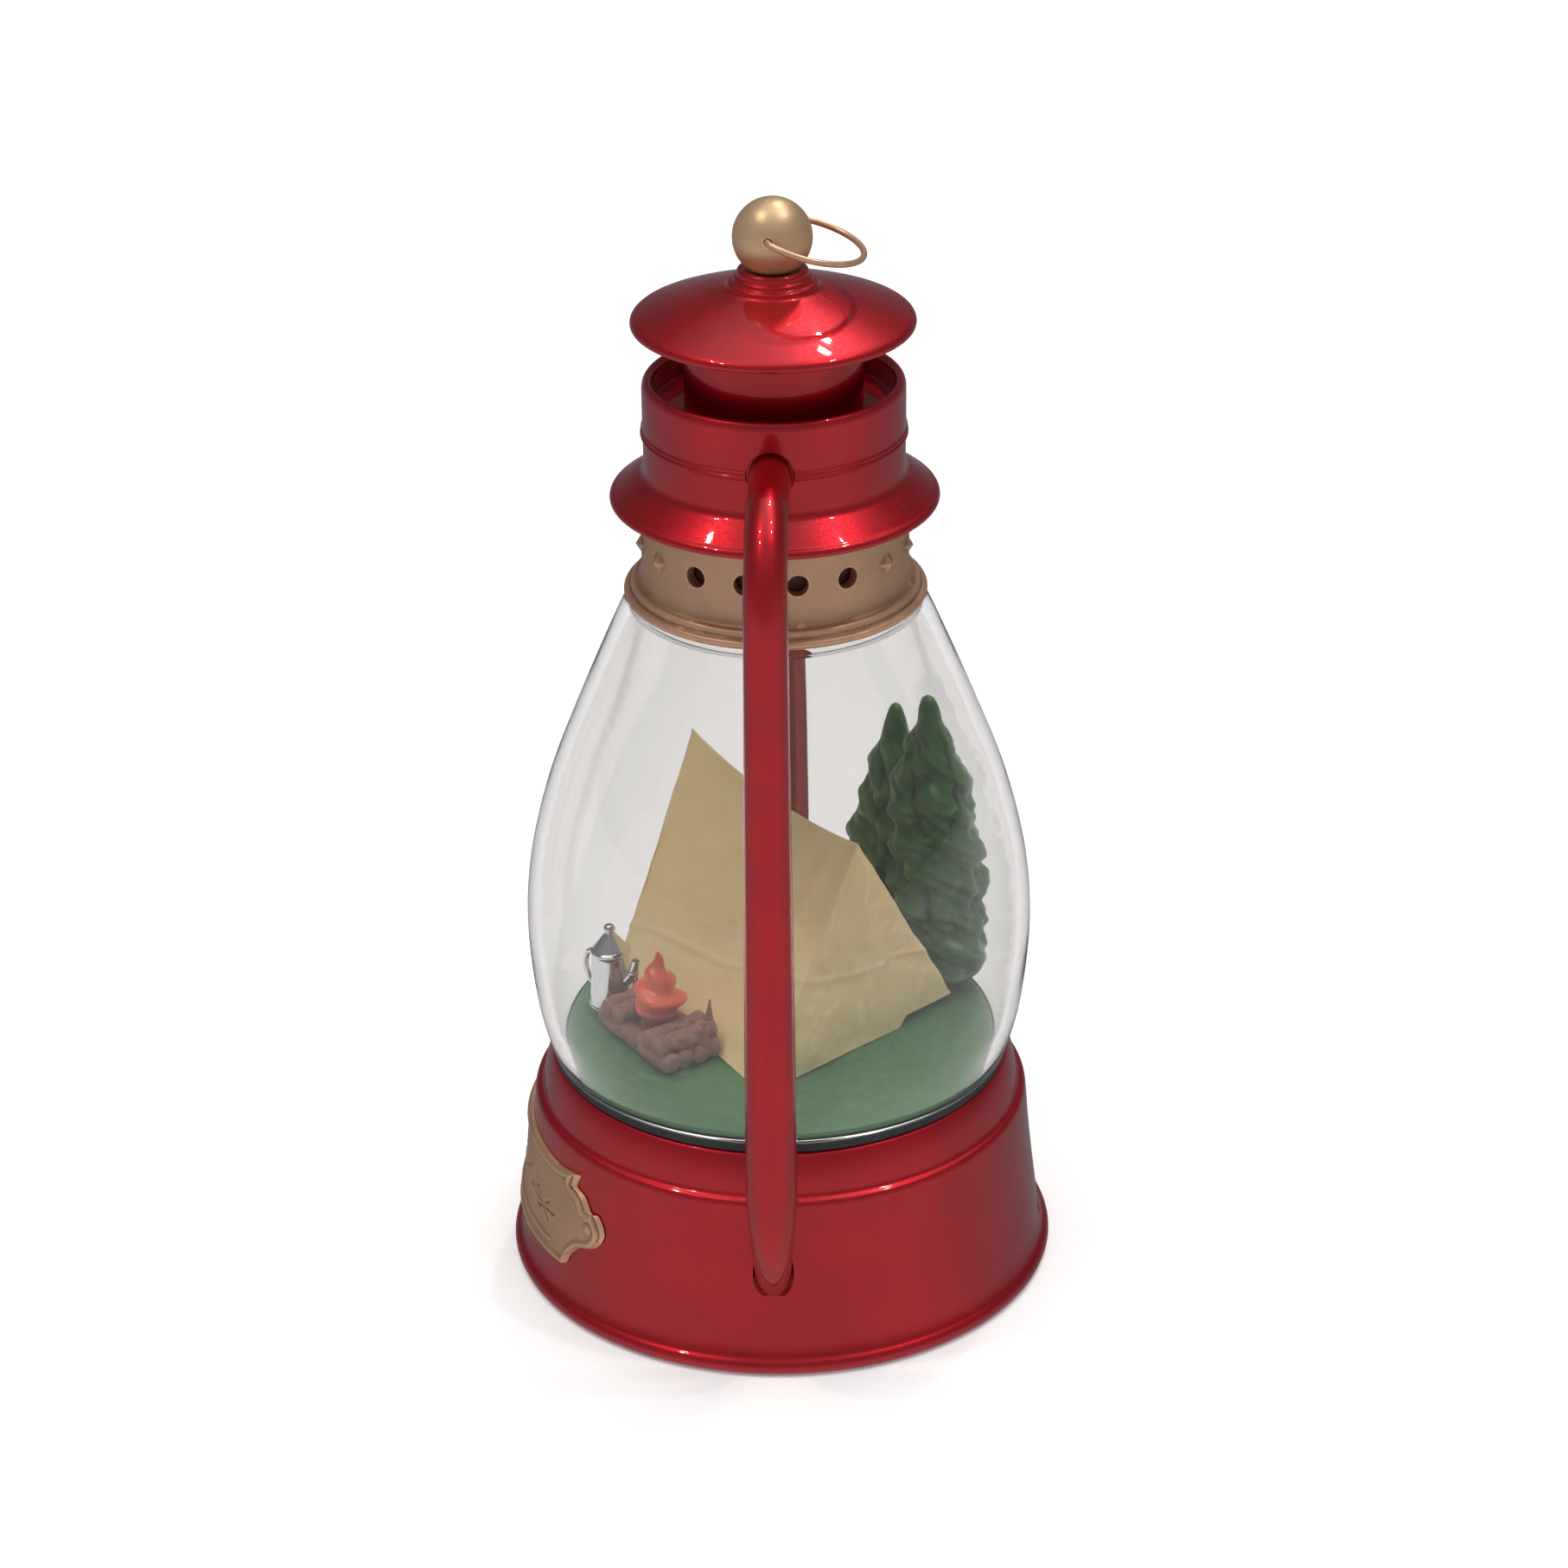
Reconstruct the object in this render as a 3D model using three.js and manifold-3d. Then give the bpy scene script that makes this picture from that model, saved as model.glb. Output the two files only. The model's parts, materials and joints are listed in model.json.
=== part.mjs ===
// Camping lantern ornament, about 101 mm tall, in millimetres, +Z up.
// Origin: centre of the bottom of the base. +X points at one side tube, -Y is the front with the name plate.
// A hollow base holds a small battery light. On it stand a gasket, a clear globe with a campsite inside,
// a pierced collar, a flared hood, an open drum with an inner chimney, a domed cap and a ball with a wire ring.

import * as THREE from 'three';
import { mergeVertices } from 'three/addons/utils/BufferGeometryUtils.js';
import Module from 'manifold-3d';

const wasm = await Module();
wasm.setup();

// ---------------------------------------------------------------- driving dimensions
const SIDES = 32;                 // facets round every large turned shell
const FINE_SIDES = 12;            // facets round small turned pieces
const HOLE_SIDES = 10;            // facets round small holes
const DEGREE = Math.PI / 180;

const BASE_R = 25;                // widest radius, at the rolled foot
const FOOT_LIP_R = 0.8;
const DECK_TOP = 20.6;            // top of the base, where gasket and ground sit
const DECK_BOTTOM = 19.1;
const COVER_BOTTOM = 1.2;
const COVER_TOP = 2.4;
const COVER_R = 22.3;

const GASKET_TOP = 21.7;
const GROUND_TOP = 22.7;
const GLOBE_WALL = 1.15;
const GLOBE_TOP = 66.4;

const COLLAR_BOTTOM = 65.5;
const COLLAR_TOP = 74.2;
const COLLAR_R = 11.65;
const VENT_Z = 70.8;
const VENT_R = 0.95;
const VENT_PITCH = 22.5 * DEGREE;

const HOOD_RIM_R = 14.28;
const SLEEVE = { inner: 9.65, outer: 10.45, bottom: 68.2 };  // hood sleeve that closes the vents from inside
const DRUM_JOINT = 80.2;          // the hood ends and the drum begins here
const DRUM_R = 11.33;
const DRUM_TOP = 85.35;
const DRUM_INNER_R = 10.35;
const DRUM_FLOOR = 82.9;
const CHIMNEY_R = 7.7;
const CHIMNEY_TOP = 91.2;

const CAP_R = 12.19;
const CAP_RIM_Z = 90.4;
const BALL_R = 3.42;
const BALL_Z = 97.8;
const STUD_R = 1.15;

const WIRE_R = 0.275;
const RING_R = 4.82;              // centreline radius of the wire ring
const RING_REACH = 3.17;          // ring centre from its hinge
const RING_HINGE_Z = 98.39;
const RING_TILT = -14.84 * DEGREE;
const FINIAL_TURN = -4.4 * DEGREE;
const RING_PIN_IN = 2.25;         // how far from the middle the wire ends stop

const TUBE_TOP_Z = 80.7;
const TUBE_START_X = 10.55;       // tube end inside the drum wall
const TUBE_X = 25.5;
const TUBE_BEND_R = 8;
const TUBE_DROP_END = 17.5;       // below this height the tube curves inwards to the skirt
const TUBE_FOOT_TIP = [22.35, 8.5];
const TUBE_RADII = { top: 1.82, low: 2.247, tip: 1.45 };
const TUBE_SWELL = [0.1, 0.86];   // share of the way down over which the tube swells
const SOCKET_GAP = 0.28;

const CELL_R = 5.8;
const CELL_LENGTH = 5.4;
const CELL_START = -8.1;
const LED_SPOT = [4.4, -10.8];
const SCREW_CIRCLE_R = 17.5;
const BOSS_R = 2;
const PILOT_R = 0.78;
const LED_HOLE_R = 1.8;

const TENT_WALL_SHARE = 0.93;     // inside of the tent as a share of its outside
const TENT_DOOR = { foot: 20, peak: 39 };
const CAMPFIRE_TURN = 36.6 * DEGREE;
const LOG_R = 0.95;
const POT_SPOT = [-1.9, -15.7];
const POT_TURN = 60 * DEGREE;
const CAMP_GAP = 0.02;            // small pieces stand this far off the ground

// ---------------------------------------------------------------- finishes
function finish(color, roughness, metalness, extra = {}) {
  return new THREE.MeshStandardMaterial({ color, roughness, metalness, ...extra });
}

const candyRed = () => finish('#9c1420', 0.3, 0.6);
const bronze = () => finish('#a07e68', 0.4, 0.8);
const clearAcrylic = () => finish('#eef2f2', 0.05, 0, { transparent: true, opacity: 0.3 });
const darkRubber = () => finish('#26282a', 0.7, 0);
const grassGreen = () => finish('#4b7a55', 0.9, 0);
const tentTan = () => finish('#b6a27a', 0.7, 0);
const pineGreen = () => finish('#2c4a30', 0.6, 0);
const barkBrown = () => finish('#876a5c', 0.8, 0);
const flameOrange = () => finish('#d2603f', 0.35, 0);
const chrome = () => finish('#d8dadc', 0.1, 1);
const steel = () => finish('#b4b7ba', 0.3, 1);
const blackPlastic = () => finish('#1d1e20', 0.5, 0);
const boardGreen = () => finish('#1f5a38', 0.5, 0);
const warmLens = () => finish('#f3e6b8', 0.2, 0);

// ---------------------------------------------------------------- solid helpers
function signedVolume(geometry) {
  const place = geometry.attributes.position;
  const index = geometry.index.array;
  const [a, b, c] = [new THREE.Vector3(), new THREE.Vector3(), new THREE.Vector3()];
  let six = 0;
  for (let i = 0; i < index.length; i += 3) {
    a.fromBufferAttribute(place, index[i]);
    b.fromBufferAttribute(place, index[i + 1]);
    c.fromBufferAttribute(place, index[i + 2]);
    six += a.dot(b.clone().cross(c));
  }
  return six / 6;
}

// Merges shared corners, drops collapsed triangles and turns the faces outward.
function closed(geometry) {
  geometry.deleteAttribute('normal');
  geometry.deleteAttribute('uv');
  const merged = mergeVertices(geometry, 1e-4);
  const source = merged.index.array;
  const kept = [];
  for (let i = 0; i < source.length; i += 3) {
    const [a, b, c] = [source[i], source[i + 1], source[i + 2]];
    if (a !== b && b !== c && c !== a) kept.push(a, b, c);
  }
  merged.setIndex(kept);
  if (signedVolume(merged) < 0) {
    for (let i = 0; i < kept.length; i += 3) [kept[i], kept[i + 1]] = [kept[i + 1], kept[i]];
    merged.setIndex(kept);
  }
  return merged;
}

function toSolid(geometry) {
  const ready = closed(geometry);
  const vertProperties = new Float32Array(ready.attributes.position.array);
  const triVerts = new Uint32Array(ready.index.array);
  return new wasm.Manifold(new wasm.Mesh({ numProp: 3, vertProperties, triVerts }));
}

function toGeometry(solid) {
  const mesh = solid.getMesh();
  const geometry = new THREE.BufferGeometry();
  geometry.setAttribute('position', new THREE.BufferAttribute(mesh.vertProperties, 3));
  geometry.setIndex(new THREE.BufferAttribute(mesh.triVerts, 1));
  return geometry;
}

function joined(base, ...others) {
  return others.reduce((sum, other) => sum.add(toSolid(other)), toSolid(base));
}

function cutFrom(solid, ...cutters) {
  return cutters.reduce((rest, cutter) => rest.subtract(toSolid(cutter)), solid);
}

// A turned shape: outline points are (radius, height) and the axis is Z.
function turned(outline, sides = SIDES) {
  return new THREE.LatheGeometry(outline, sides).rotateX(Math.PI / 2);
}

function points(...pairs) {
  return pairs.map(([r, z]) => new THREE.Vector2(r, z));
}

function looped(outline) {
  return [...outline, outline[0].clone()];
}

function upright(radius, bottom, top, x = 0, y = 0, sides = HOLE_SIDES) {
  const rod = new THREE.CylinderGeometry(radius, radius, top - bottom, sides);
  return rod.rotateX(Math.PI / 2).translate(x, y, (top + bottom) / 2);
}

function slab(x0, x1, y0, y1, z0, z1) {
  const box = new THREE.BoxGeometry(x1 - x0, y1 - y0, z1 - z0);
  return box.translate((x0 + x1) / 2, (y0 + y1) / 2, (z0 + z1) / 2);
}

// A round rod swept along a curve, its radius given along the way from 0 to 1, with flat ends.
function sweptRod(curve, radiusAt, steps, sides) {
  const frames = curve.computeFrenetFrames(steps, false);
  const positions = [];
  const index = [];
  for (let i = 0; i <= steps; i += 1) {
    const centre = curve.getPointAt(i / steps);
    for (let j = 0; j < sides; j += 1) {
      const angle = (2 * Math.PI * j) / sides;
      const spoke = frames.normals[i].clone().multiplyScalar(Math.cos(angle));
      spoke.addScaledVector(frames.binormals[i], Math.sin(angle)).multiplyScalar(radiusAt(i / steps));
      positions.push(centre.x + spoke.x, centre.y + spoke.y, centre.z + spoke.z);
    }
  }
  for (let i = 0; i < steps; i += 1) {
    for (let j = 0; j < sides; j += 1) {
      const next = (j + 1) % sides;
      const [a, b, c, d] = [i * sides + j, i * sides + next, (i + 1) * sides + next, (i + 1) * sides + j];
      index.push(a, b, c, a, c, d);
    }
  }
  for (let j = 1; j < sides - 1; j += 1) {
    const last = steps * sides;
    index.push(0, j + 1, j, last, last + j, last + j + 1);
  }
  const geometry = new THREE.BufferGeometry();
  geometry.setAttribute('position', new THREE.Float32BufferAttribute(positions, 3));
  geometry.setIndex(index);
  return geometry;
}

// ---------------------------------------------------------------- assembly
const lantern = new THREE.Group();
lantern.name = 'camping_lantern_ornament';

function add(name, geometry, material, parent = lantern) {
  const mesh = new THREE.Mesh(closed(geometry), material);
  mesh.name = name;
  parent.add(mesh);
  return mesh;
}

// ---------------------------------------------------------------- side tubes
// The path runs out of the drum, bends down, drops beside the globe and tucks into the skirt.
const tubePath = new THREE.CurvePath();
{
  const bendStart = TUBE_X - TUBE_BEND_R;
  const at = (x, z) => new THREE.Vector3(x, 0, z);
  tubePath.add(new THREE.LineCurve3(at(TUBE_START_X, TUBE_TOP_Z), at(bendStart, TUBE_TOP_Z)));
  const k = 0.5523 * TUBE_BEND_R; // Bezier handle of a quarter circle
  tubePath.add(new THREE.CubicBezierCurve3(
    at(bendStart, TUBE_TOP_Z), at(bendStart + k, TUBE_TOP_Z),
    at(TUBE_X, TUBE_TOP_Z - TUBE_BEND_R + k), at(TUBE_X, TUBE_TOP_Z - TUBE_BEND_R)));
  tubePath.add(new THREE.LineCurve3(at(TUBE_X, TUBE_TOP_Z - TUBE_BEND_R), at(TUBE_X, TUBE_DROP_END)));
  tubePath.add(new THREE.CubicBezierCurve3(
    at(TUBE_X, TUBE_DROP_END), at(TUBE_X, 13.6), at(TUBE_FOOT_TIP[0] + 1.7, 10.4), at(...TUBE_FOOT_TIP)));
}

const tubeSteps = 30;
const tubeSides = 10;
const tubeCurve = new THREE.CatmullRomCurve3(tubePath.getSpacedPoints(60), false, 'centripetal');

// The tube swells slowly on its way down and narrows at the foot.
function tubeRadius(t) {
  const [start, end] = TUBE_SWELL;
  const { top, low, tip } = TUBE_RADII;
  if (t < end) return THREE.MathUtils.lerp(top, low, THREE.MathUtils.smoothstep(t, start, end));
  return THREE.MathUtils.lerp(low, tip, (t - end) / (1 - end));
}

const tubeRight = sweptRod(tubeCurve, tubeRadius, tubeSteps, tubeSides);
const tubeSocketRight = sweptRod(tubeCurve, (t) => tubeRadius(t) + SOCKET_GAP, tubeSteps, tubeSides);
const tubeLeft = tubeRight.clone().rotateZ(Math.PI);
const tubeSocketLeft = tubeSocketRight.clone().rotateZ(Math.PI);

// ---------------------------------------------------------------- base
const skirt = new THREE.Path();
skirt.moveTo(0, DECK_BOTTOM);
skirt.lineTo(19.6, DECK_BOTTOM);
skirt.quadraticCurveTo(20.6, 17.8, 21.1, 14.3);
skirt.lineTo(22.3, 4.2);
skirt.lineTo(22.6, 2.6);
skirt.lineTo(22.6, 0);
skirt.lineTo(BASE_R - FOOT_LIP_R, 0);
skirt.absarc(BASE_R - FOOT_LIP_R, FOOT_LIP_R, FOOT_LIP_R, -90 * DEGREE, 35 * DEGREE, false);
skirt.quadraticCurveTo(24.15, 1.9, 23.85, 4.2);
skirt.quadraticCurveTo(23.1, 9.6, 22.75, 14.3);
skirt.quadraticCurveTo(22.6, 16.2, 21.95, 16.8);
skirt.lineTo(21.78, 17.2);
skirt.quadraticCurveTo(21.5, 19.2, 20.95, 20.2);
skirt.lineTo(20.6, DECK_TOP);
skirt.lineTo(0, DECK_TOP);

const screwSpots = [30, 150, 270].map((angle) => [
  SCREW_CIRCLE_R * Math.cos(angle * DEGREE), SCREW_CIRCLE_R * Math.sin(angle * DEGREE)]);

function buildBase() {
  const bosses = screwSpots.map(([x, y]) => upright(BOSS_R, COVER_TOP, DECK_BOTTOM + 0.5, x, y));
  const pilotHoles = screwSpots.map(([x, y]) => upright(PILOT_R, 1, 10, x, y));
  const ledHole = upright(LED_HOLE_R, DECK_BOTTOM - 1, DECK_TOP + 1, ...LED_SPOT);
  const shell = joined(turned(skirt.getPoints(3)), ...bosses);
  return toGeometry(cutFrom(shell, ...pilotHoles, ledHole, tubeSocketRight.clone(), tubeSocketLeft.clone()));
}
add('base_shell', buildBase(), candyRed());

// Battery door: a plate with a screw tab towards +X.
const DOOR = { x0: -9.6, x1: 9.8, y0: -10.6, y1: 2.6, tabX: 13.9, tabHalf: 2.9, tabTop: 1.75 };
const DOOR_SCREW = [12.1, -4];
const PLAY = 0.2;

function buildCover() {
  const plate = joined(
    turned(points([0, COVER_BOTTOM], [COVER_R, COVER_BOTTOM], [COVER_R, COVER_TOP], [0, COVER_TOP])),
    upright(1.7, COVER_TOP - 0.5, 7, ...DOOR_SCREW));
  const doorHole = slab(DOOR.x0 - PLAY, DOOR.x1 + PLAY, DOOR.y0 - PLAY, DOOR.y1 + PLAY, 0, 4);
  const tabPocket = slab(
    DOOR.x1, DOOR.tabX + PLAY,
    DOOR_SCREW[1] - DOOR.tabHalf - PLAY, DOOR_SCREW[1] + DOOR.tabHalf + PLAY, 0, DOOR.tabTop + 0.05);
  const switchSlot = slab(-2.2, 2.2, 8.2, 9.8, 0, 4);
  const screwHoles = screwSpots.map(([x, y]) => upright(0.9, 0, 4, x, y));
  const doorScrewHole = upright(0.68, 0, 6, ...DOOR_SCREW);
  return toGeometry(cutFrom(plate, doorHole, tabPocket, switchSlot, doorScrewHole, ...screwHoles));
}
add('bottom_cover', buildCover(), blackPlastic());

function panScrew(headR, headBottom, seat, shankR, tip) {
  return turned(points(
    [0, headBottom], [headR * 0.75, headBottom], [headR, headBottom + 0.35], [headR, seat],
    [shankR, seat], [shankR, tip - 0.6], [0, tip]), HOLE_SIDES);
}
screwSpots.forEach(([x, y], i) => {
  const screw = add(`cover_screw_${i + 1}`, panScrew(1.6, 0.4, COVER_BOTTOM, 0.68, 8.4), steel());
  screw.position.set(x, y, 0);
});

const doorPlate = joined(
  slab(DOOR.x0, DOOR.x1, DOOR.y0, DOOR.y1, COVER_BOTTOM, COVER_TOP),
  slab(
    DOOR.x1 - 0.5, DOOR.tabX,
    DOOR_SCREW[1] - DOOR.tabHalf, DOOR_SCREW[1] + DOOR.tabHalf, COVER_BOTTOM, DOOR.tabTop));
add('battery_door', toGeometry(cutFrom(doorPlate, upright(0.75, 0, 4, ...DOOR_SCREW))), blackPlastic());
const doorScrew = add('door_screw', panScrew(1.3, 0.45, COVER_BOTTOM, 0.58, 5.6), steel());
doorScrew.position.set(...DOOR_SCREW, 0);

// ---------------------------------------------------------------- battery light
const TRAY = { x: 10, y0: -11, y1: 3, top: 15.2, wall: 1, roof: 0.8 };
const TRAY_MIDDLE_Y = (TRAY.y0 + TRAY.y1) / 2;
const trayInnerX = TRAY.x - TRAY.wall;
const tray = cutFrom(
  toSolid(slab(-TRAY.x, TRAY.x, TRAY.y0, TRAY.y1, COVER_TOP + 0.05, TRAY.top)),
  slab(-trayInnerX, trayInnerX, TRAY.y0 + TRAY.wall, TRAY.y1 - TRAY.wall, 0, TRAY.top - TRAY.roof));
add('battery_tray', toGeometry(tray), blackPlastic());

const CELL_Z = COVER_TOP + 0.15 + CELL_R;
const cellEnd = CELL_LENGTH - 0.05;
const cellProfile = points([0, 0], [4.9, 0], [5.1, 0.3], [CELL_R, 0.5], [CELL_R, cellEnd], [0, cellEnd]);
for (let i = 0; i < 3; i += 1) {
  const cell = add(`battery_cell_${i + 1}`, turned(cellProfile, FINE_SIDES), steel());
  cell.rotation.y = Math.PI / 2;
  cell.position.set(CELL_START + i * CELL_LENGTH, TRAY_MIDDLE_Y, CELL_Z);
}
add('contact_plate', slab(-8.9, -8.5, -8, 0, 4, 12), steel());

// Cone spring at the other end of the row of cells.
const SPRING = { turns: 2.25, wide: 3.2, narrow: 1.8, far: 8.78, near: 8.5, wireR: 0.16 };
const springPath = new THREE.CatmullRomCurve3(Array.from({ length: 25 }, (_, i) => {
  const share = i / 24;
  const turn = share * SPRING.turns * 2 * Math.PI;
  const radius = THREE.MathUtils.lerp(SPRING.wide, SPRING.narrow, share);
  const x = THREE.MathUtils.lerp(SPRING.far, SPRING.near, share);
  return new THREE.Vector3(x, TRAY_MIDDLE_Y + radius * Math.cos(turn), CELL_Z + radius * Math.sin(turn));
}));
add('contact_spring', sweptRod(springPath, () => SPRING.wireR, 36, 5), steel());

add('circuit_board', slab(-1, 9.6, -14, -6, TRAY.top, TRAY.top + 1), boardGreen());
const ledProfile = points(
  [0, 16.25], [1.6, 16.25], [1.6, 17.1], [1.4, 17.1], [1.4, 19.6], [1.2, 20.3], [0.7, 20.8], [0, 21]);
const led = add('led', turned(ledProfile, HOLE_SIDES), warmLens());
led.position.set(...LED_SPOT, 0);

const SWITCH_Y = 9;
const switchBody = cutFrom(
  toSolid(slab(-4.5, 4.5, SWITCH_Y - 2, SWITCH_Y + 2, COVER_TOP, 6.4)),
  slab(-3.3, 3.3, SWITCH_Y - 1.2, SWITCH_Y + 1.2, 0, 5.4));
add('switch_body', toGeometry(switchBody), blackPlastic());
const switchSlider = joined(
  slab(-3, 1, SWITCH_Y - 0.9, SWITCH_Y + 0.9, COVER_TOP + 0.1, 4.4),
  slab(-2, 0, SWITCH_Y - 0.6, SWITCH_Y + 0.6, 0.4, COVER_TOP + 0.6));
add('switch_slider', toGeometry(switchSlider), blackPlastic());

// ---------------------------------------------------------------- gasket, ground and globe
add('globe_gasket', turned(looped(points(
  [19.35, DECK_TOP], [20.5, DECK_TOP], [20.75, DECK_TOP + 0.3], [20.75, GASKET_TOP], [19.35, GASKET_TOP]))),
darkRubber());

const groundOutline = points(
  [0, DECK_TOP], [19.2, DECK_TOP], [19.2, 21.9], [19.75, 22], [19.7, 22.35], [18.6, GROUND_TOP],
  [0, GROUND_TOP]);
const ground = cutFrom(toSolid(turned(groundOutline)), upright(LED_HOLE_R, 20, 24, ...LED_SPOT));
add('ground_disc', toGeometry(ground), grassGreen());

const globeCurve = new THREE.SplineCurve(points(
  [21, GASKET_TOP], [22.1, 26.4], [22.72, 33.5], [22.2, 40], [20.5, 47], [18, 53.7], [15.1, 60.7],
  [13.2, 64.9]));
const globeOuter = [...globeCurve.getPoints(11), ...points([12.35, 65.5], [12.1, GLOBE_TOP])];
const globeInner = globeOuter.map((p) => new THREE.Vector2(p.x - GLOBE_WALL, p.y)).reverse();
add('globe', turned(looped([...globeOuter, ...globeInner])), clearAcrylic());

// ---------------------------------------------------------------- campsite
// Tent: a ridge tent moulded as a shell, its corners pegged to the ground and its entrance towards -X.
const tentCorners = {
  a: [-10.2, -16.3, GROUND_TOP],
  b: [13.5, -1.2, GROUND_TOP],
  c: [-3, 16.2, GROUND_TOP],
  d: [-15.2, -1, GROUND_TOP],
  front: [-12.7, -8.4, 46],
  back: [5.8, 7.2, 43.6],
};

function tentBody(shrink) {
  const centre = new THREE.Vector3(-4, -0.5, GROUND_TOP);
  const corner = (key) => new THREE.Vector3(...tentCorners[key]).sub(centre).multiplyScalar(shrink).add(centre);
  const order = ['a', 'b', 'c', 'd', 'front', 'back'].map(corner);
  const geometry = new THREE.BufferGeometry().setFromPoints(order);
  geometry.setIndex([0, 2, 1, 0, 3, 2, 0, 1, 5, 0, 5, 4, 1, 2, 5, 2, 3, 4, 2, 4, 5, 3, 0, 4]);
  return geometry;
}

function buildTent() {
  const inside = tentBody(TENT_WALL_SHARE).translate(0, 0, -0.2);
  const outerEnd = [[-18.5, -11.4, TENT_DOOR.foot], [-16.5, -5, TENT_DOOR.foot], [-16.5, -9.6, TENT_DOOR.peak]];
  const innerEnd = [[-9, -9.6, TENT_DOOR.foot], [-7, -3.2, TENT_DOOR.foot], [-8, -6.6, TENT_DOOR.peak]];
  const doorway = new THREE.BufferGeometry().setFromPoints(
    [...outerEnd, ...innerEnd].map((p) => new THREE.Vector3(...p)));
  doorway.setIndex([0, 2, 1, 3, 4, 5, 0, 1, 4, 0, 4, 3, 1, 2, 5, 1, 5, 4, 2, 0, 3, 2, 3, 5]);
  return toGeometry(cutFrom(toSolid(tentBody(1)), inside, doorway));
}
add('tent', buildTent(), tentTan());

// A pine is a turned, tiered shape with a blunt tip, leaned to follow the globe.
function pine(height, radius, tiers) {
  const outline = points([0, 0], [1.1, 0], [1.1, 2.2]);
  for (let i = 0; i < tiers; i += 1) {
    const low = 2.4 + ((height - 2.4) * i) / tiers;
    const rise = (height - 2.4) / tiers;
    const reach = radius * Math.sqrt(1 - 0.88 * (i / tiers) ** 1.5);
    outline.push(new THREE.Vector2(reach, low + 0.3 * rise));
    outline.push(new THREE.Vector2(reach * 0.8, low + 0.95 * rise));
  }
  outline.push(new THREE.Vector2(0, height));
  return turned(outline, 14);
}

function leaned(geometry, leanY, height) {
  const lean = new THREE.Matrix4();
  lean.elements[9] = leanY / height;
  return geometry.applyMatrix4(lean);
}
const pineLarge = add('pine_large', leaned(pine(29.4, 4, 6), -1.5, 29.4), pineGreen());
pineLarge.position.set(-7.5, 15.2, GROUND_TOP);
const pineSmall = add('pine_small', leaned(pine(25.8, 3.3, 5), 0.6, 25.8), pineGreen());
pineSmall.position.set(-13.4, 10.2, GROUND_TOP);

// Campfire: a stack of short logs, a flame above a hole that lets the light through.
function log(length, across, up, turn) {
  const rod = new THREE.CylinderGeometry(LOG_R, LOG_R * 0.9, length, 6).rotateZ(Math.PI / 2);
  return rod.translate(0, across, up + LOG_R).rotateZ(turn);
}
const logLayers = [
  ...[-2.25, -0.75, 0.75, 2.25].map((across, i) => log(11.6 - 0.5 * (i % 2), across, 0, 0)),
  ...[-4.3, -2.7, 0, 2.7, 4.3].map((across) => log(6.2, across, 1.35, Math.PI / 2)),
];
const logStack = cutFrom(joined(logLayers[0], ...logLayers.slice(1)), upright(1.3, -1, 6));
const fire = new THREE.Group();
fire.position.set(...LED_SPOT, GROUND_TOP + CAMP_GAP);
lantern.add(fire);
add('campfire_logs', toGeometry(logStack), barkBrown(), fire).rotation.z = CAMPFIRE_TURN;
const flameProfile = points(
  [0, 0.4], [1, 0.4], [1, 3.4], [1.9, 3.55], [2.15, 4.4], [1.75, 5.7], [1.05, 6.9], [0.6, 7.9], [0, 9]);
add('flame', turned(flameProfile, HOLE_SIDES), flameOrange(), fire);

// Coffee pot: turned body with a peaked lid, a spout and a looped handle.
function buildPot() {
  const body = turned(points(
    [0, 0], [2.1, 0], [2.2, 0.4], [1.75, 5.6], [1.85, 5.8], [1.7, 6.1], [0.45, 7.6], [0.4, 7.9], [0.3, 8.4],
    [0, 8.5]), FINE_SIDES);
  const spoutCurve = new THREE.QuadraticBezierCurve3(
    new THREE.Vector3(1.4, 0, 3.4), new THREE.Vector3(2.4, 0, 4), new THREE.Vector3(2.7, 0, 5.4));
  const handleCurve = new THREE.CubicBezierCurve3(
    new THREE.Vector3(-1.5, 0, 5.2), new THREE.Vector3(-3.6, 0, 5.6),
    new THREE.Vector3(-3.2, 0, 1.8), new THREE.Vector3(-1.7, 0, 1.8));
  const spout = sweptRod(spoutCurve, (t) => 0.55 - 0.2 * t, 4, 6);
  const handle = sweptRod(handleCurve, () => 0.28, 8, 6);
  return toGeometry(joined(body, spout, handle));
}
const pot = add('coffee_pot', buildPot(), chrome());
pot.position.set(...POT_SPOT, GROUND_TOP + CAMP_GAP);
pot.rotation.z = POT_TURN;

// ---------------------------------------------------------------- collar
const collarFillet = new THREE.QuadraticBezierCurve(
  new THREE.Vector2(12.4, 66.95), new THREE.Vector2(11.75, 67.1), new THREE.Vector2(COLLAR_R, 68.4));
const collarOutline = [
  ...points([12.75, COLLAR_BOTTOM], [13.1, COLLAR_BOTTOM], [13.18, 66.1], [12.75, 66.45], [12.6, 66.75]),
  ...collarFillet.getPoints(4),
  ...points([COLLAR_R, COLLAR_TOP], [10.65, COLLAR_TOP], [10.65, 67.7], [12.35, 66.55]),
];

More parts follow.
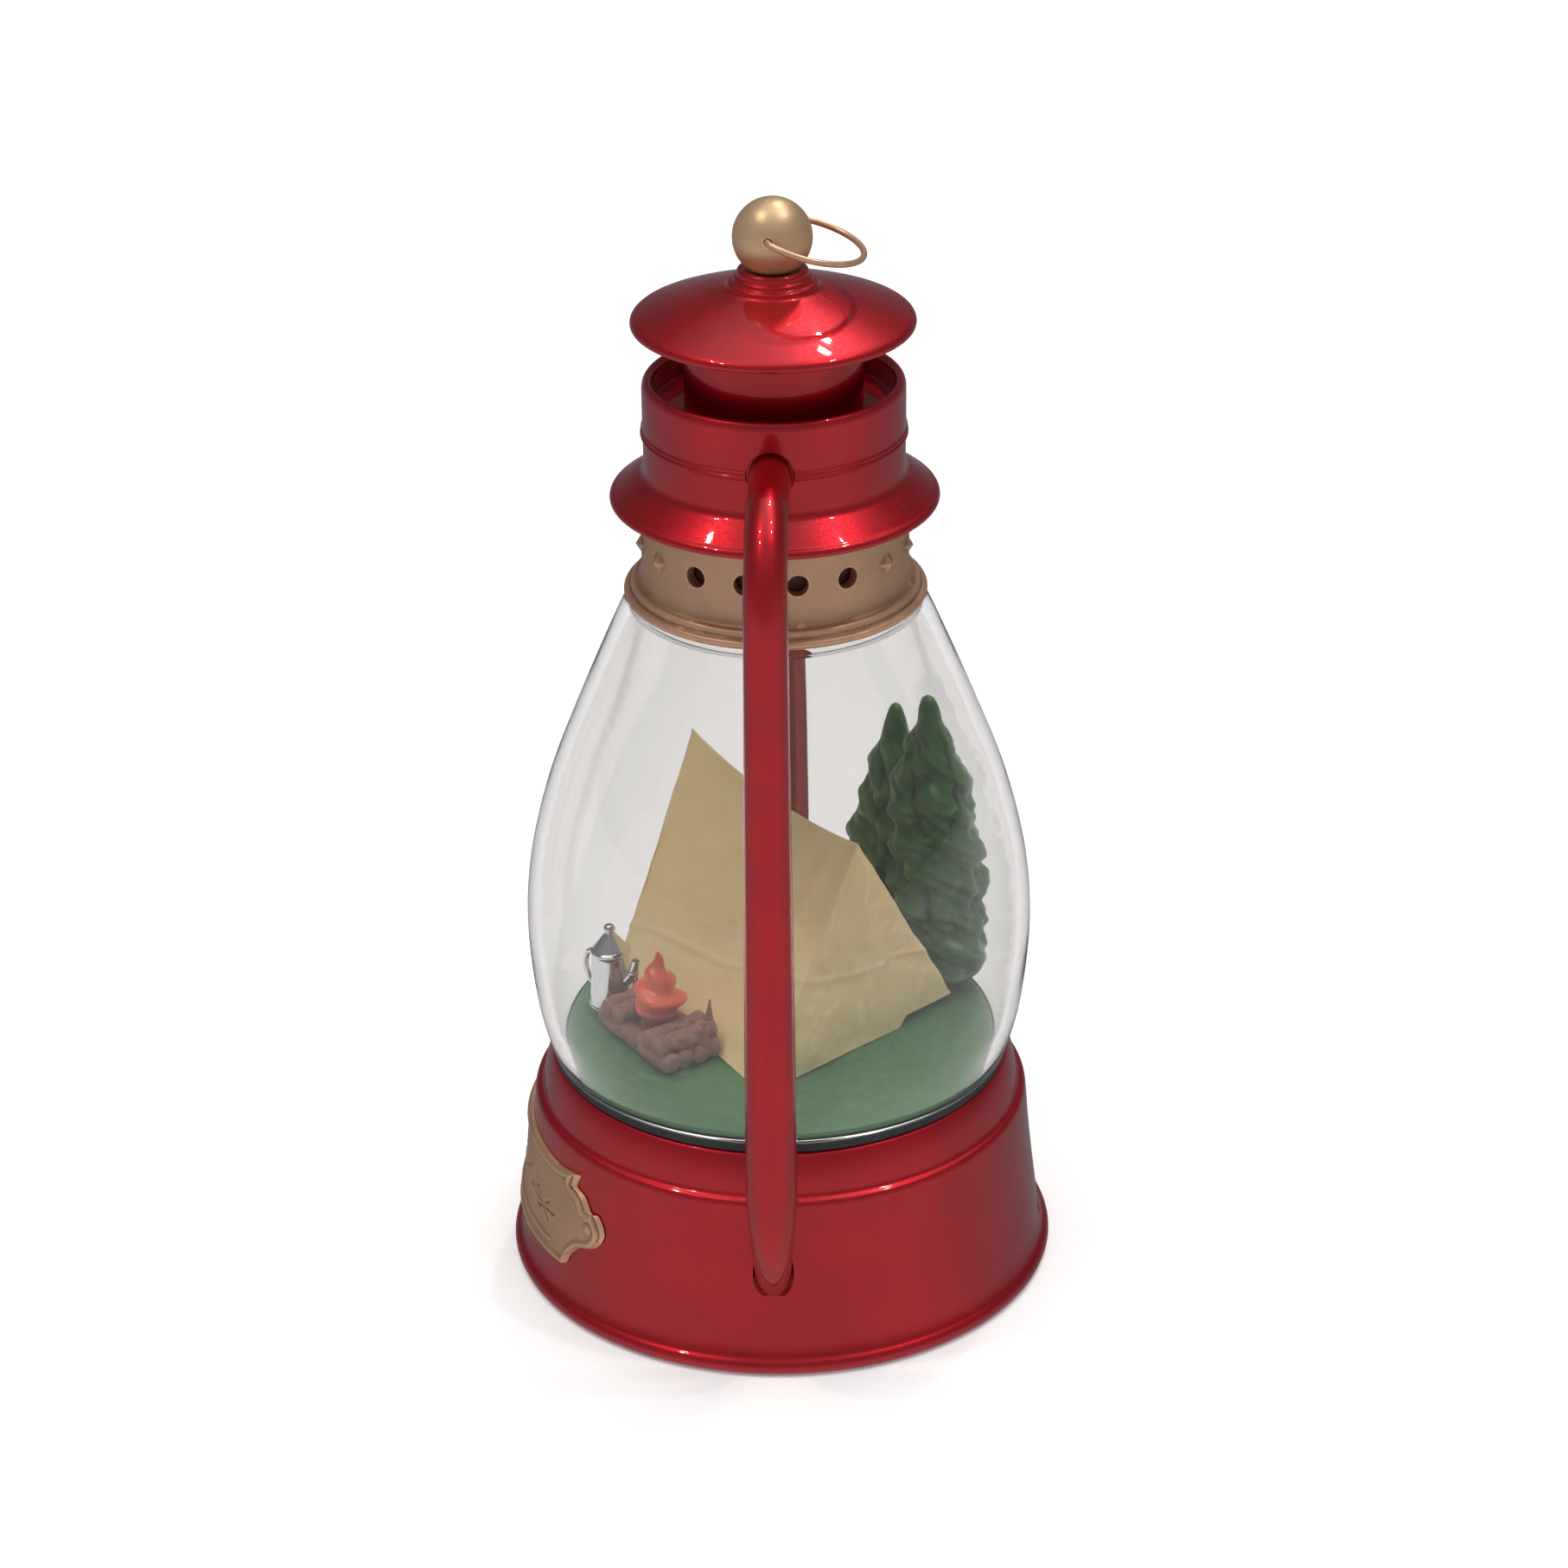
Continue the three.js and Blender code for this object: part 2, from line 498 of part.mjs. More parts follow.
function buildCollar() {
  const shell = toSolid(turned(looped(collarOutline)));
  const vents = [];
  const nubs = [];
  for (let i = 0; i < 16; i += 1) {
    const angle = (i + 0.5) * VENT_PITCH;
    const open = Math.abs(Math.cos(angle)) > Math.cos(45 * DEGREE);
    if (open) {
      const bit = new THREE.CylinderGeometry(VENT_R, VENT_R, 4, HOLE_SIDES).rotateZ(Math.PI / 2);
      vents.push(bit.translate(COLLAR_R, 0, 0).rotateZ(angle).translate(0, 0, VENT_Z));
    } else {
      const nub = new THREE.ConeGeometry(0.9, 0.9, 4).rotateZ(-Math.PI / 2);
      nubs.push(nub.translate(COLLAR_R + 0.15, 0, 0).rotateZ(angle).translate(0, 0, VENT_Z));
    }
  }
  const studded = nubs.reduce((sum, nub) => sum.add(toSolid(nub)), shell);
  return toGeometry(cutFrom(studded, ...vents));
}
add('vent_collar', buildCollar(), bronze());

// ---------------------------------------------------------------- hood, drum, chimney and cap
const NECK_R = DRUM_R - 0.03;
const hoodFlare = new THREE.QuadraticBezierCurve(
  new THREE.Vector2(13.5, 75.45), new THREE.Vector2(12.2, 76.5), new THREE.Vector2(NECK_R, 77.1));
const hoodOutline = looped([
  ...points([SLEEVE.inner, SLEEVE.bottom], [SLEEVE.outer, SLEEVE.bottom], [SLEEVE.outer, COLLAR_TOP]),
  ...points([13.85, COLLAR_TOP], [HOOD_RIM_R, 74.45], [HOOD_RIM_R, 74.65], [14.05, 75]),
  ...hoodFlare.getPoints(3),
  ...points([NECK_R, DRUM_JOINT], [DRUM_INNER_R, DRUM_JOINT], [DRUM_INNER_R, 75.2], [SLEEVE.inner, 74.6]),
]);
const hood = cutFrom(toSolid(turned(hoodOutline)), tubeSocketRight.clone(), tubeSocketLeft.clone());
add('hood', toGeometry(hood), candyRed());

const drumOutline = points(
  [0, DRUM_FLOOR], [0, DRUM_FLOOR - 0.8], [DRUM_INNER_R, DRUM_FLOOR - 0.8], [DRUM_INNER_R, DRUM_JOINT],
  [DRUM_R, DRUM_JOINT], [11.53, DRUM_JOINT + 0.1], [11.53, 80.4], [11.38, 80.55], [11.48, 80.75],
  [DRUM_R + 0.02, 80.95], [DRUM_R, 84.6], [11.15, 85.15], [10.9, DRUM_TOP], [10.55, 85.2],
  [DRUM_INNER_R, 84.7], [DRUM_INNER_R, DRUM_FLOOR], [0, DRUM_FLOOR]);
const drum = cutFrom(toSolid(turned(drumOutline)), tubeSocketRight.clone(), tubeSocketLeft.clone());
add('vent_drum', toGeometry(drum), candyRed());

const chimneyInner = CHIMNEY_R - 0.8;
add('chimney', turned(looped(points(
  [chimneyInner, DRUM_FLOOR], [CHIMNEY_R, DRUM_FLOOR],
  [CHIMNEY_R, CHIMNEY_TOP], [chimneyInner, CHIMNEY_TOP])), 24), candyRed());

const capOutline = looped(points(
  [1.3, 94.4], [1.3, 92.9], [4, 92.5], [7.6, 91.35], [11.2, 90.3], [11.75, 90], [CAP_R - 0.08, 90.15],
  [CAP_R, CAP_RIM_Z], [CAP_R - 0.15, 90.7], [10.9, 91.25], [9.4, 91.8], [7.6, 92.35], [5.6, 92.95],
  [4.3, 93.4],
  [3.95, 93.5], [3.85, 93.9], [3.5, 94], [3.4, 94.35], [3.1, 94.45], [3.05, 94.9], [2.75, 95.15], [2.35, 95.1]));
add('cap', turned(capOutline), candyRed());

// ---------------------------------------------------------------- ball finial and wire ring
const finial = new THREE.Group();
finial.rotation.z = FINIAL_TURN;
lantern.add(finial);

function buildBall() {
  const outline = points([0, 92.1], [STUD_R, 92.1], [STUD_R, BALL_Z - Math.sqrt(BALL_R ** 2 - STUD_R ** 2)]);
  const start = Math.asin(STUD_R / BALL_R);
  for (let i = 1; i <= 11; i += 1) {
    const angle = start + ((Math.PI - start) * i) / 11;
    outline.push(new THREE.Vector2(BALL_R * Math.sin(angle), BALL_Z - BALL_R * Math.cos(angle)));
  }
  outline[outline.length - 1].x = 0;
  const pinHole = (side) => new THREE.CylinderGeometry(0.37, 0.37, 3, HOLE_SIDES)
    .rotateZ(Math.PI / 2).translate(side * (RING_PIN_IN - 0.2 + 1.5), 0, RING_HINGE_Z);
  return toGeometry(cutFrom(toSolid(turned(outline, 20)), pinHole(1), pinHole(-1)));
}
add('finial_ball', buildBall(), bronze(), finial);

// The ring is a C of wire: two pins on the hinge line joined by most of a circle.
const pinSpots = [RING_PIN_IN, 2.7, 3.2, 3.5];
const ringPoints = pinSpots.map((x) => new THREE.Vector3(x, 0, 0));
const openAngle = Math.asin(RING_REACH / RING_R) - 5 * DEGREE;
for (let i = 0; i <= 22; i += 1) {
  const angle = -openAngle + ((Math.PI + 2 * openAngle) * i) / 22;
  ringPoints.push(new THREE.Vector3(RING_R * Math.cos(angle), RING_REACH + RING_R * Math.sin(angle), 0));
}
for (const x of [...pinSpots].reverse()) ringPoints.push(new THREE.Vector3(-x, 0, 0));
const ringCurve = new THREE.CatmullRomCurve3(ringPoints, false, 'centripetal');
const ring = add('hanging_ring', sweptRod(ringCurve, () => WIRE_R, 40, 8), bronze(), finial);
ring.position.z = RING_HINGE_Z;
ring.rotation.x = RING_TILT;

// ---------------------------------------------------------------- side tube pieces and name plate
add('side_tube_right', tubeRight, candyRed());
add('side_tube_left', tubeLeft, candyRed());

// Half of the plate's outline, as (distance round the skirt, height); the other half mirrors it.
const PLATE_SKIRT_R = 23.6;
const PLATE_GAP = 0.06;
const PLATE_THICK = 0.6;
const plateHalf = [
  [0, 13.9], [13.4, 13.9], [15.7, 14.4], [15.3, 13.1], [16.8, 12.6], [17.8, 11.3], [18.6, 11.6], [19.4, 10.8],
  [19.8, 9.9], [19.5, 8.9], [18.8, 8.1], [17, 7.5], [15.8, 6.2], [15.2, 4.8], [13.5, 4.7], [0, 4.5]];

function buildPlate() {
  const across = (u) => PLATE_SKIRT_R * Math.sin(u / PLATE_SKIRT_R);
  const outline = new THREE.Shape([
    ...plateHalf.map(([u, z]) => new THREE.Vector2(across(u), z)),
    ...plateHalf.slice(1, -1).reverse().map(([u, z]) => new THREE.Vector2(-across(u), z)),
  ]);
  const prism = new THREE.ExtrudeGeometry(outline, { depth: 16, bevelEnabled: false });
  prism.rotateX(Math.PI / 2).translate(0, -11, 0);
  const skirtR = (z) => 23.85 - (z - 4.2) * 0.112 + PLATE_GAP;
  const [low, high] = [3, 16];
  const sleeve = turned(looped(points(
    [skirtR(low), low], [skirtR(low) + PLATE_THICK, low],
    [skirtR(high) + PLATE_THICK, high], [skirtR(high), high])));
  return toGeometry(toSolid(sleeve).intersect(toSolid(prism)));
}
add('name_plate', buildPlate(), bronze());

export default lantern;
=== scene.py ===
"""Camping lantern ornament: the fine surfaces and finishes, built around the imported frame.

Lengths are in millimetres while a piece is being shaped, and metres once it is settled.
"""

import json
import math

import bmesh
import bpy
import numpy as np
from mathutils import Matrix, Vector


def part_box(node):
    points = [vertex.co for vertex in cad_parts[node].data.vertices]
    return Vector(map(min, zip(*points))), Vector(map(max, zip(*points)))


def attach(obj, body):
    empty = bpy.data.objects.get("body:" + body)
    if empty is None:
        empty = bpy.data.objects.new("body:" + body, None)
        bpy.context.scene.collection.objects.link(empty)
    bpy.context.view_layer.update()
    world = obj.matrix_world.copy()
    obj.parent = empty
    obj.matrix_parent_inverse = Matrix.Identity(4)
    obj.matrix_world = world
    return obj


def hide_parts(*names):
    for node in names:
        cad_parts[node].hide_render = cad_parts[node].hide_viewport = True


bl_info = {
    "name": "Camping Lantern Ornament",
    "version": (1, 0, 0),
    "blender": (4, 5, 0),
    "location": "3D View > Sidebar > Lantern",
    "description": "Builds a hanging lantern ornament with a campsite in its globe",
    "category": "Add Mesh",
}

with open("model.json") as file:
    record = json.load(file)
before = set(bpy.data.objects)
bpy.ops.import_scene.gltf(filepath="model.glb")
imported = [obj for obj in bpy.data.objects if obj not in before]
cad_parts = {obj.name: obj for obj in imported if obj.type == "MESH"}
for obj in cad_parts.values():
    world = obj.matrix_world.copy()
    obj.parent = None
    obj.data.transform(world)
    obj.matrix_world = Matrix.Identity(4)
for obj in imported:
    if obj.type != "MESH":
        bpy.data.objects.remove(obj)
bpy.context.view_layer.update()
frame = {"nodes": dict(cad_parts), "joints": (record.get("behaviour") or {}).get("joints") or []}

MM = 0.001
BODY = "lantern"
ROUND_SIDES = 192  # columns round a large turned piece
SMALL_SIDES = 64  # columns round a small turned piece
PIPE_SIDES = 40
MERGE = 1e-4  # corners closer than this are one corner
ALONG, ACROSS, UP = np.eye(3)  # directions of the three axes


# ------------------------------------------------------------------ places from the frame
def corners(node):
    """Low and high corner of a CAD node's box, in millimetres."""
    return [np.array(corner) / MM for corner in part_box(node)]


def span(node):
    """Radius, bottom and top of a turned CAD node, in millimetres."""
    low, high = corners(node)
    return high[1], low[2], high[2]


def middle(node):
    """Middle of a CAD node's box, in millimetres."""
    low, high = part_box(node)
    return np.array((low + high) / 2) / MM


FOOT_R, _, DECK_TOP = span("base_shell")
GASKET_TOP = span("globe_gasket")[2]
GROUND_R, _, GROUND_TOP = span("ground_disc")
GLOBE_R, _, GLOBE_TOP = span("globe")
_, COLLAR_LOW, COLLAR_TOP = span("vent_collar")
HOOD_R, _, DRUM_LOW = span("hood")
DRUM_TOP = span("vent_drum")[2]
CHIMNEY_R, CHIMNEY_LOW, CHIMNEY_TOP = span("chimney")
CAP_R, _, CAP_TOP = span("cap")
BALL_TOP = span("finial_ball")[2]
LED_X, LED_Y, _ = middle("led")
HINGE = next(joint for joint in frame["joints"] if joint["name"] == "ring_swing")
HINGE_Z = HINGE["pos_m"][2] / MM
FINIAL_TURN = math.atan2(HINGE["axis"][1], HINGE["axis"][0])


def linear(hex_colour):
    """Linear RGB of an sRGB hex colour: c/12.92 below 0.04045, else ((c + 0.055) / 1.055) ** 2.4."""
    parts = [int(hex_colour[i : i + 2], 16) / 255 for i in (1, 3, 5)]
    return tuple(c / 12.92 if c < 0.04045 else ((c + 0.055) / 1.055) ** 2.4 for c in parts)


# ------------------------------------------------------------------ what a user may change
def length(name, description, size):
    """A length property, given in millimetres."""
    return bpy.props.FloatProperty(
        name=name, description=description, default=size * MM, min=0, unit="LENGTH", precision=5
    )


def colour(name, description, hex_colour):
    """A colour property, given as an sRGB hex value."""
    return bpy.props.FloatVectorProperty(
        name=name, description=description, default=linear(hex_colour), subtype="COLOR", min=0, max=1
    )


class LanternSizes(bpy.types.PropertyGroup):
    """Sizes that the frame leaves open."""

    globe_wall: length("Globe wall", "Thickness of the clear globe", 1.15)
    canvas: length("Tent wall", "Thickness of the moulded tent", 0.55)
    wire: length("Ring wire", "Diameter of the hanging ring's wire", 0.55)
    ring_radius: length("Ring radius", "Radius of the ring's wire centreline", 4.82)
    plate_relief: length("Plate relief", "How far the name plate stands off the skirt", 0.6)
    ring_tilt: bpy.props.FloatProperty(
        name="Ring tilt",
        description="How far the ring hangs below level at rest",
        default=math.radians(14.84),
        subtype="ANGLE",
    )


class LanternColours(bpy.types.PropertyGroup):
    """Main colour of each finish."""

    lacquer: colour("Lacquer", "Candy red lacquer", "#cc0c20")
    lacquer_deep: colour("Lacquer, thick", "Candy red where the lacquer lies thick", "#ac0a1c")
    bronze: colour("Bronze", "Bronze paint", "#c39c7d")
    # This colour is the painted shade in the bronze's hollows.
    bronze_shade: colour("Bronze, hollows", "Bronze paint in hollows", "#7d5a42")
    ball: colour("Ball", "Gold-bronze of the ball", "#cfaf88")
    canvas: colour("Canvas", "Tent paint", "#f4d498")
    grass: colour("Grass", "Ground paint", "#33693a")
    pine: colour("Pine", "Tree paint", "#284c26")
    bark: colour("Bark", "Log paint", "#7a4c3e")
    flame: colour("Flame", "Flame resin", "#ee6c46")
    glass: colour("Globe", "Tint of the clear globe", "#e7e6e5")
    floor: colour("Floor", "Studio floor", "#f8f8f8")


# ------------------------------------------------------------------ outlines and paths
def arc(centre, radius, start, end, steps=9):
    """Points centre + radius (cos a, sin a), with a from start to end in degrees."""
    angle = np.radians(np.linspace(start, end, steps))
    return np.column_stack((centre[0] + radius * np.cos(angle), centre[1] + radius * np.sin(angle)))


def bow(start, pull, end, steps=8):
    """Quadratic curve (1-t)² start + 2t(1-t) pull + t² end."""
    t = np.linspace(0, 1, steps)[:, None]
    start, pull, end = (np.array(p, float) for p in (start, pull, end))
    return (1 - t) ** 2 * start + 2 * t * (1 - t) * pull + t**2 * end


def bezier(pulls, steps):
    """Cubic curve (1-t)³ a + 3t(1-t)² b + 3t²(1-t) c + t³ d."""
    t = np.linspace(0, 1, steps)[:, None]
    shares = zip((1, 3, 3, 1), np.array(pulls, float))
    return sum(share * (1 - t) ** (3 - k) * t**k * pull for k, (share, pull) in enumerate(shares))


def rounded(corners, steps=5):
    """Closed outline through (x, y, fillet) corners, each corner turned on a quadratic curve."""
    spots = np.array([corner[:2] for corner in corners], float)
    parts = []
    for i, (_, _, fillet) in enumerate(corners):
        here = spots[i]
        if fillet == 0:
            parts.append(here[None])
            continue
        ends = []
        for other in (spots[i - 1], spots[(i + 1) % len(spots)]):
            away = other - here
            far = np.linalg.norm(away)
            ends.append(here + away / far * min(fillet, 0.49 * far))
        parts.append(bow(ends[0], here, ends[1], steps))
    return np.vstack(parts)


def spline(spots, count):
    """Catmull-Rom curve through the spots: half of (2b + (c-a)t + (2a-5b+4c-d)t² + (3b-a-3c+d)t³)."""
    spots = np.array(spots, float)
    place = np.linspace(0, len(spots) - 1, count)
    i = np.minimum(place.astype(int), len(spots) - 2)
    t = (place - i)[:, None]
    a, b = spots[np.maximum(i - 1, 0)], spots[i]
    c, d = spots[i + 1], spots[np.minimum(i + 2, len(spots) - 1)]
    return 0.5 * (2 * b + (c - a) * t + (2 * a - 5 * b + 4 * c - d) * t**2 + (3 * b - a - 3 * c + d) * t**3)


def ease(x, low, high):
    """0 below low, 1 above high, and 3t² - 2t³ between them."""
    t = np.clip((x - low) / (high - low), 0, 1)
    return t * t * (3 - 2 * t)


def crumple(points, size, seed, octaves=3):
    """Smooth random field, about -1 to 1. Random numbers on a cubic lattice of the given size in
    millimetres are blended by 3t² - 2t³, and each octave has half the size and half the strength."""
    lattice = np.random.default_rng(seed).uniform(-1, 1, (32, 32, 32))
    total = np.zeros(points.shape[:-1])
    for octave in range(octaves):
        place = points / size * 2**octave + 7.3 * octave
        cell = np.floor(place).astype(int)
        t = place - cell
        t = t * t * (3 - 2 * t)
        for corner in range(8):
            step = np.array((corner & 1, corner >> 1 & 1, corner >> 2 & 1))
            share = np.prod(np.where(step, t, 1 - t), axis=-1)
            x, y, z = np.moveaxis((cell + step) % 32, -1, 0)
            total += share * lattice[x, y, z] / 2**octave
    return total


# ------------------------------------------------------------------ surfaces
def turned(outline, sides=ROUND_SIDES):
    """Surface of revolution about Z: P(i, a) = (r_i cos a, r_i sin a, z_i)."""
    angle = np.linspace(0, 2 * np.pi, sides, endpoint=False)
    radius, height = outline[:, 0, None], outline[:, 1, None]
    return np.stack((radius * np.cos(angle), radius * np.sin(angle), height + 0 * angle), -1)


def swept(path, radius, across, sides=PIPE_SIDES):
    """Round section carried along a path: P(i, a) = c_i + r_i (cos a n_i + sin a b_i). n is the part of
    across square to the path, and b = t x n. End rows shrink to the path and close the rod."""
    path = np.array(path, float)
    tangent = np.gradient(path, axis=0)
    tangent /= np.linalg.norm(tangent, axis=1)[:, None]
    normal = across - (tangent @ across)[:, None] * tangent
    normal /= np.linalg.norm(normal, axis=1)[:, None]
    binormal = np.cross(tangent, normal)
    angle = np.linspace(0, 2 * np.pi, sides, endpoint=False)[:, None]
    spoke = np.cos(angle) * normal[:, None] + np.sin(angle) * binormal[:, None]
    reach = np.broadcast_to(np.array(radius, float), (len(path),))[:, None, None]
    rows = path[:, None] + reach * spoke
    ends = [np.repeat(path[i][None, None], sides, axis=1) for i in (0, -1)]
    return np.concatenate((ends[0], rows, ends[1]))


def placed(points, turn=0.0, at=(0, 0, 0), tilt=0.0):
    """Points tilted about X, then turned about Z, then moved."""
    matrix = Matrix.Rotation(turn, 3, "Z") @ Matrix.Rotation(tilt, 3, "X")
    return points @ np.array(matrix).T + np.array(at, float)


def grid(points, rows=False, columns=True):
    """A grid of points, and whether its rows and its columns close on themselves."""
    return points, rows, columns


def meshed(name, points, faces):
    """One object from points and faces. Points that meet at seams and poles are merged, and faces are
    turned outwards."""
    mesh = bpy.data.meshes.new(name)
    mesh.from_pydata(points.tolist(), [], faces)
    shape = bmesh.new()
    shape.from_mesh(mesh)
    bmesh.ops.remove_doubles(shape, verts=shape.verts, dist=MERGE)
    bmesh.ops.recalc_face_normals(shape, faces=shape.faces)
    open_edges = sum(edge.is_boundary for edge in shape.edges)
    shape.to_mesh(mesh)
    shape.free()
    if open_edges:
        raise RuntimeError(f"{name} has {open_edges} open edges")
    piece = bpy.data.objects.new(name, mesh)
    bpy.context.scene.collection.objects.link(piece)
    return piece


def shaped(name, *grids):
    """One object from closed grids of points in millimetres."""
    spots, faces, count = [], [], 0
    for points, rows, columns in grids:
        number = count + np.arange(points.shape[0] * points.shape[1]).reshape(points.shape[:2])
        number = np.vstack((number, number[:1])) if rows else number
        number = np.hstack((number, number[:, :1])) if columns else number
        square = (number[:-1, :-1], number[:-1, 1:], number[1:, 1:], number[1:, :-1])
        faces.append(np.stack(square, -1).reshape(-1, 4))
        spots.append(points.reshape(-1, 3))
        count += len(spots[-1])
    return meshed(name, np.vstack(spots), np.vstack(faces).tolist())


def lathed(name, outline):
    """A turned object from a closed outline that stays clear of the axis, or closes along it."""
    return shaped(name, grid(turned(outline), rows=True))


def prism(name, outline, y_front, y_back):
    """The outline in X and Z, carried straight from y_front to y_back."""
    count = len(outline)
    ends = [
        np.column_stack((outline[:, 0], np.full(count, y), outline[:, 1])) for y in (y_front, y_back)
    ]
    here = np.arange(count)
    there = np.roll(here, -1)
    sides = np.column_stack((here, there, there + count, here + count)).tolist()
    return meshed(name, np.vstack(ends), [*sides, here.tolist(), (here + count).tolist()])


def block(name, low, high, bevel=0.15):
    """A box with bevelled edges between two corners."""
    x0, z0, x1, z1 = low[0], low[2], high[0], high[2]
    piece = prism(name, np.array([(x0, z0), (x1, z0), (x1, z1), (x0, z1)]), low[1], high[1])
    if bevel:
        edges = piece.modifiers.new("edges", "BEVEL")
        edges.width = bevel
        edges.segments = 3
        applied(piece)
    return piece


def applied(piece):
    """Replaces a piece's mesh with what its modifiers make of it."""
    bpy.context.view_layer.update()
    seen = piece.evaluated_get(bpy.context.evaluated_depsgraph_get())
    mesh = bpy.data.meshes.new_from_object(seen)
    piece.modifiers.clear()
    piece.data = mesh
    return piece


def worked(piece, operation, *others):
    """Cuts the others out of a piece, joins them to it, or keeps what they share with it."""
    for other in others:
        step = piece.modifiers.new(operation, "BOOLEAN")
        step.operation = operation
        step.solver = "EXACT"
        step.object = other
    applied(piece)
    if not piece.data.polygons:
        raise RuntimeError(f"nothing is left of {piece.name}")
    for other in others:
        bpy.data.objects.remove(other)
    return piece


def settled(piece, nodes, material, crease=32, body=BODY):
    """Brings a finished piece to metres, shades it smooth up to the crease angle, and ties it in."""
    piece.data.transform(Matrix.Scale(MM, 4))
    piece.data.shade_smooth()
    piece.data.set_sharp_from_angle(angle=math.radians(crease))
    piece.data.materials.clear()
    piece.data.materials.append(material)
    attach(piece, body)
    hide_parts(*nodes)
    return piece


# ------------------------------------------------------------------ materials
NOISE, RANGE, BUMP = "ShaderNodeTexNoise", "ShaderNodeMapRange", "ShaderNodeBump"
RAMP, MATH, GEOMETRY = "ShaderNodeValToRGB", "ShaderNodeMath", "ShaderNodeNewGeometry"


def opaque(rgb):
    """A colour as RGBA."""
    return (*rgb, 1.0)


def fed(node, sockets):
    """Sets a node's inputs, or links them where the value is an output of another node."""
    for name, value in sockets.items():
        if isinstance(value, bpy.types.NodeSocket):
            node.id_data.links.new(value, node.inputs[name])
        else:
            node.inputs[name].default_value = value


def add(tree, kind, sockets, out=0, stops=(), **settings):
    """Adds one node with its settings, inputs and ramp stops, and returns one of its outputs."""
    made = tree.nodes.new(kind)
    for name, value in settings.items():
        setattr(made, name, value)
    fed(made, sockets)
    if stops:
        ramp = made.color_ramp.elements
        for element, (position, rgb) in zip(ramp, (stops[0], stops[-1])):
            element.position = position
            element.color = opaque(rgb)
        for position, rgb in stops[1:-1]:
            ramp.new(position).color = opaque(rgb)
    return made.outputs[out]


def finish(name, maker, *details):
    """The material of that name. Its maker is called when it is first asked for."""
    return bpy.data.materials.get(name) or maker(name, *details)


def begun(name, **sockets):
    """A new material, its tree, its Principled shader with inputs set, and Object coordinates."""
    material = bpy.data.materials.new(name)
    material.use_nodes = True
    tree = material.node_tree
    shader = tree.nodes["Principled BSDF"]
    fed(shader, {socket.replace("_", " "): value for socket, value in sockets.items()})
    return material, tree, shader, add(tree, "ShaderNodeTexCoord", {}, "Object")


def candy_red_lacquer(name, colours):
    """Candy lacquer: silver flake under a transparent red coat, sprayed on moulded ABS."""
    # The flake gives a soft metallic glow, the coat a sharp wet shine on top of it.
    material, tree, shader, place = begun(
        name, Metallic=0.86, Coat_Weight=1.0, Coat_Roughness=0.035, Coat_IOR=1.45
    )
    thick = add(tree, NOISE, {"Vector": place, "Scale": 1 / 0.007, "Detail": 3.0})
    flake = add(tree, NOISE, {"Vector": place, "Scale": 1 / 0.00022, "Detail": 1.0})
    peel = add(tree, NOISE, {"Vector": place, "Scale": 1 / 0.0016, "Detail": 1.0})
    depth = add(tree, RANGE, {"Value": thick, "From Min": 0.35, "From Max": 0.7, "To Max": 0.55})
    coats = {0: depth, 6: opaque(colours.lacquer), 7: opaque(colours.lacquer_deep)}
    red = add(tree, "ShaderNodeMix", coats, 2, data_type="RGBA")
    glint_range = {"From Min": 0.3, "From Max": 0.7, "To Min": 0.3, "To Max": 0.44}
    glint = add(tree, RANGE, {"Value": flake, **glint_range})
    skin = add(tree, BUMP, {"Height": peel, "Strength": 0.05, "Distance": 0.00012})
    grain = add(tree, BUMP, {"Height": flake, "Normal": skin, "Strength": 0.1, "Distance": 0.00005})
    fed(shader, {"Base Color": red, "Roughness": glint, "Normal": grain, "Coat Normal": skin})
    return material


def bronze_paint(name, main, hollow, shine):
    """Bronze metallic paint, brushed on plastic, with a painted highlight on its edges and painted shade in
    its hollows.
    """
    material, tree, shader, place = begun(name, Metallic=0.72, Coat_Weight=0.12, Coat_Roughness=0.3)
    patch = add(tree, NOISE, {"Vector": place, "Scale": 1 / 0.004, "Detail": 4.0})
    fine = add(tree, NOISE, {"Vector": place, "Scale": 1 / 0.00035, "Detail": 2.0})
    bend = add(tree, GEOMETRY, {}, "Pointiness")
    # Edges get a lighter copy of the main colour as a painted highlight, and hollows get the darker hollow
    # colour as painted shade.
    edge = add(tree, RANGE, {"Value": bend, "From Min": 0.44, "From Max": 0.56})
    tone_and_highlight = add(tree, MATH, {0: patch, 1: 0.35, 2: edge}, operation="MULTIPLY_ADD")
    edge_highlight = [min(1.0, 1.45 * c) for c in main]
    tone = add(tree, RAMP, {"Fac": tone_and_highlight}, stops=((0.3, hollow), (0.62, main), (1.0, edge_highlight)))
    rough = add(tree, RANGE, {"Value": patch, "To Min": shine, "To Max": shine + 0.16})
    grain = add(tree, BUMP, {"Height": fine, "Strength": 0.18, "Distance": 0.00006})
    fed(shader, {"Base Color": tone, "Roughness": rough, "Normal": grain})
    return material


def clear_acrylic(name, colours):
    """Moulded clear acrylic, polished: nearly colourless, with a faint grey in its thickness."""
    tint = opaque(colours.glass)
    material, tree, shader, place = begun(
        name, Base_Color=tint, Roughness=0.0, IOR=1.49, Transmission_Weight=1.0
    )
    # Moulding leaves long soft waves that bend reflections a little.
    wave = add(tree, NOISE, {"Vector": place, "Scale": 1 / 0.012, "Detail": 1.0})
    fed(shader, {"Normal": add(tree, BUMP, {"Height": wave, "Strength": 0.12, "Distance": 0.0003})})
    # Shadow rays pass straight through, so that lamps light the campsite.
    to_lamp = add(tree, "ShaderNodeLightPath", {}, "Is Shadow Ray")
    through = add(tree, "ShaderNodeBsdfTransparent", {"Color": (0.97, 0.97, 0.97, 1)})
    both = add(tree, "ShaderNodeMixShader", {0: to_lamp, 1: shader.outputs[0], 2: through})
    fed(tree.nodes["Material Output"], {"Surface": both})
    return material


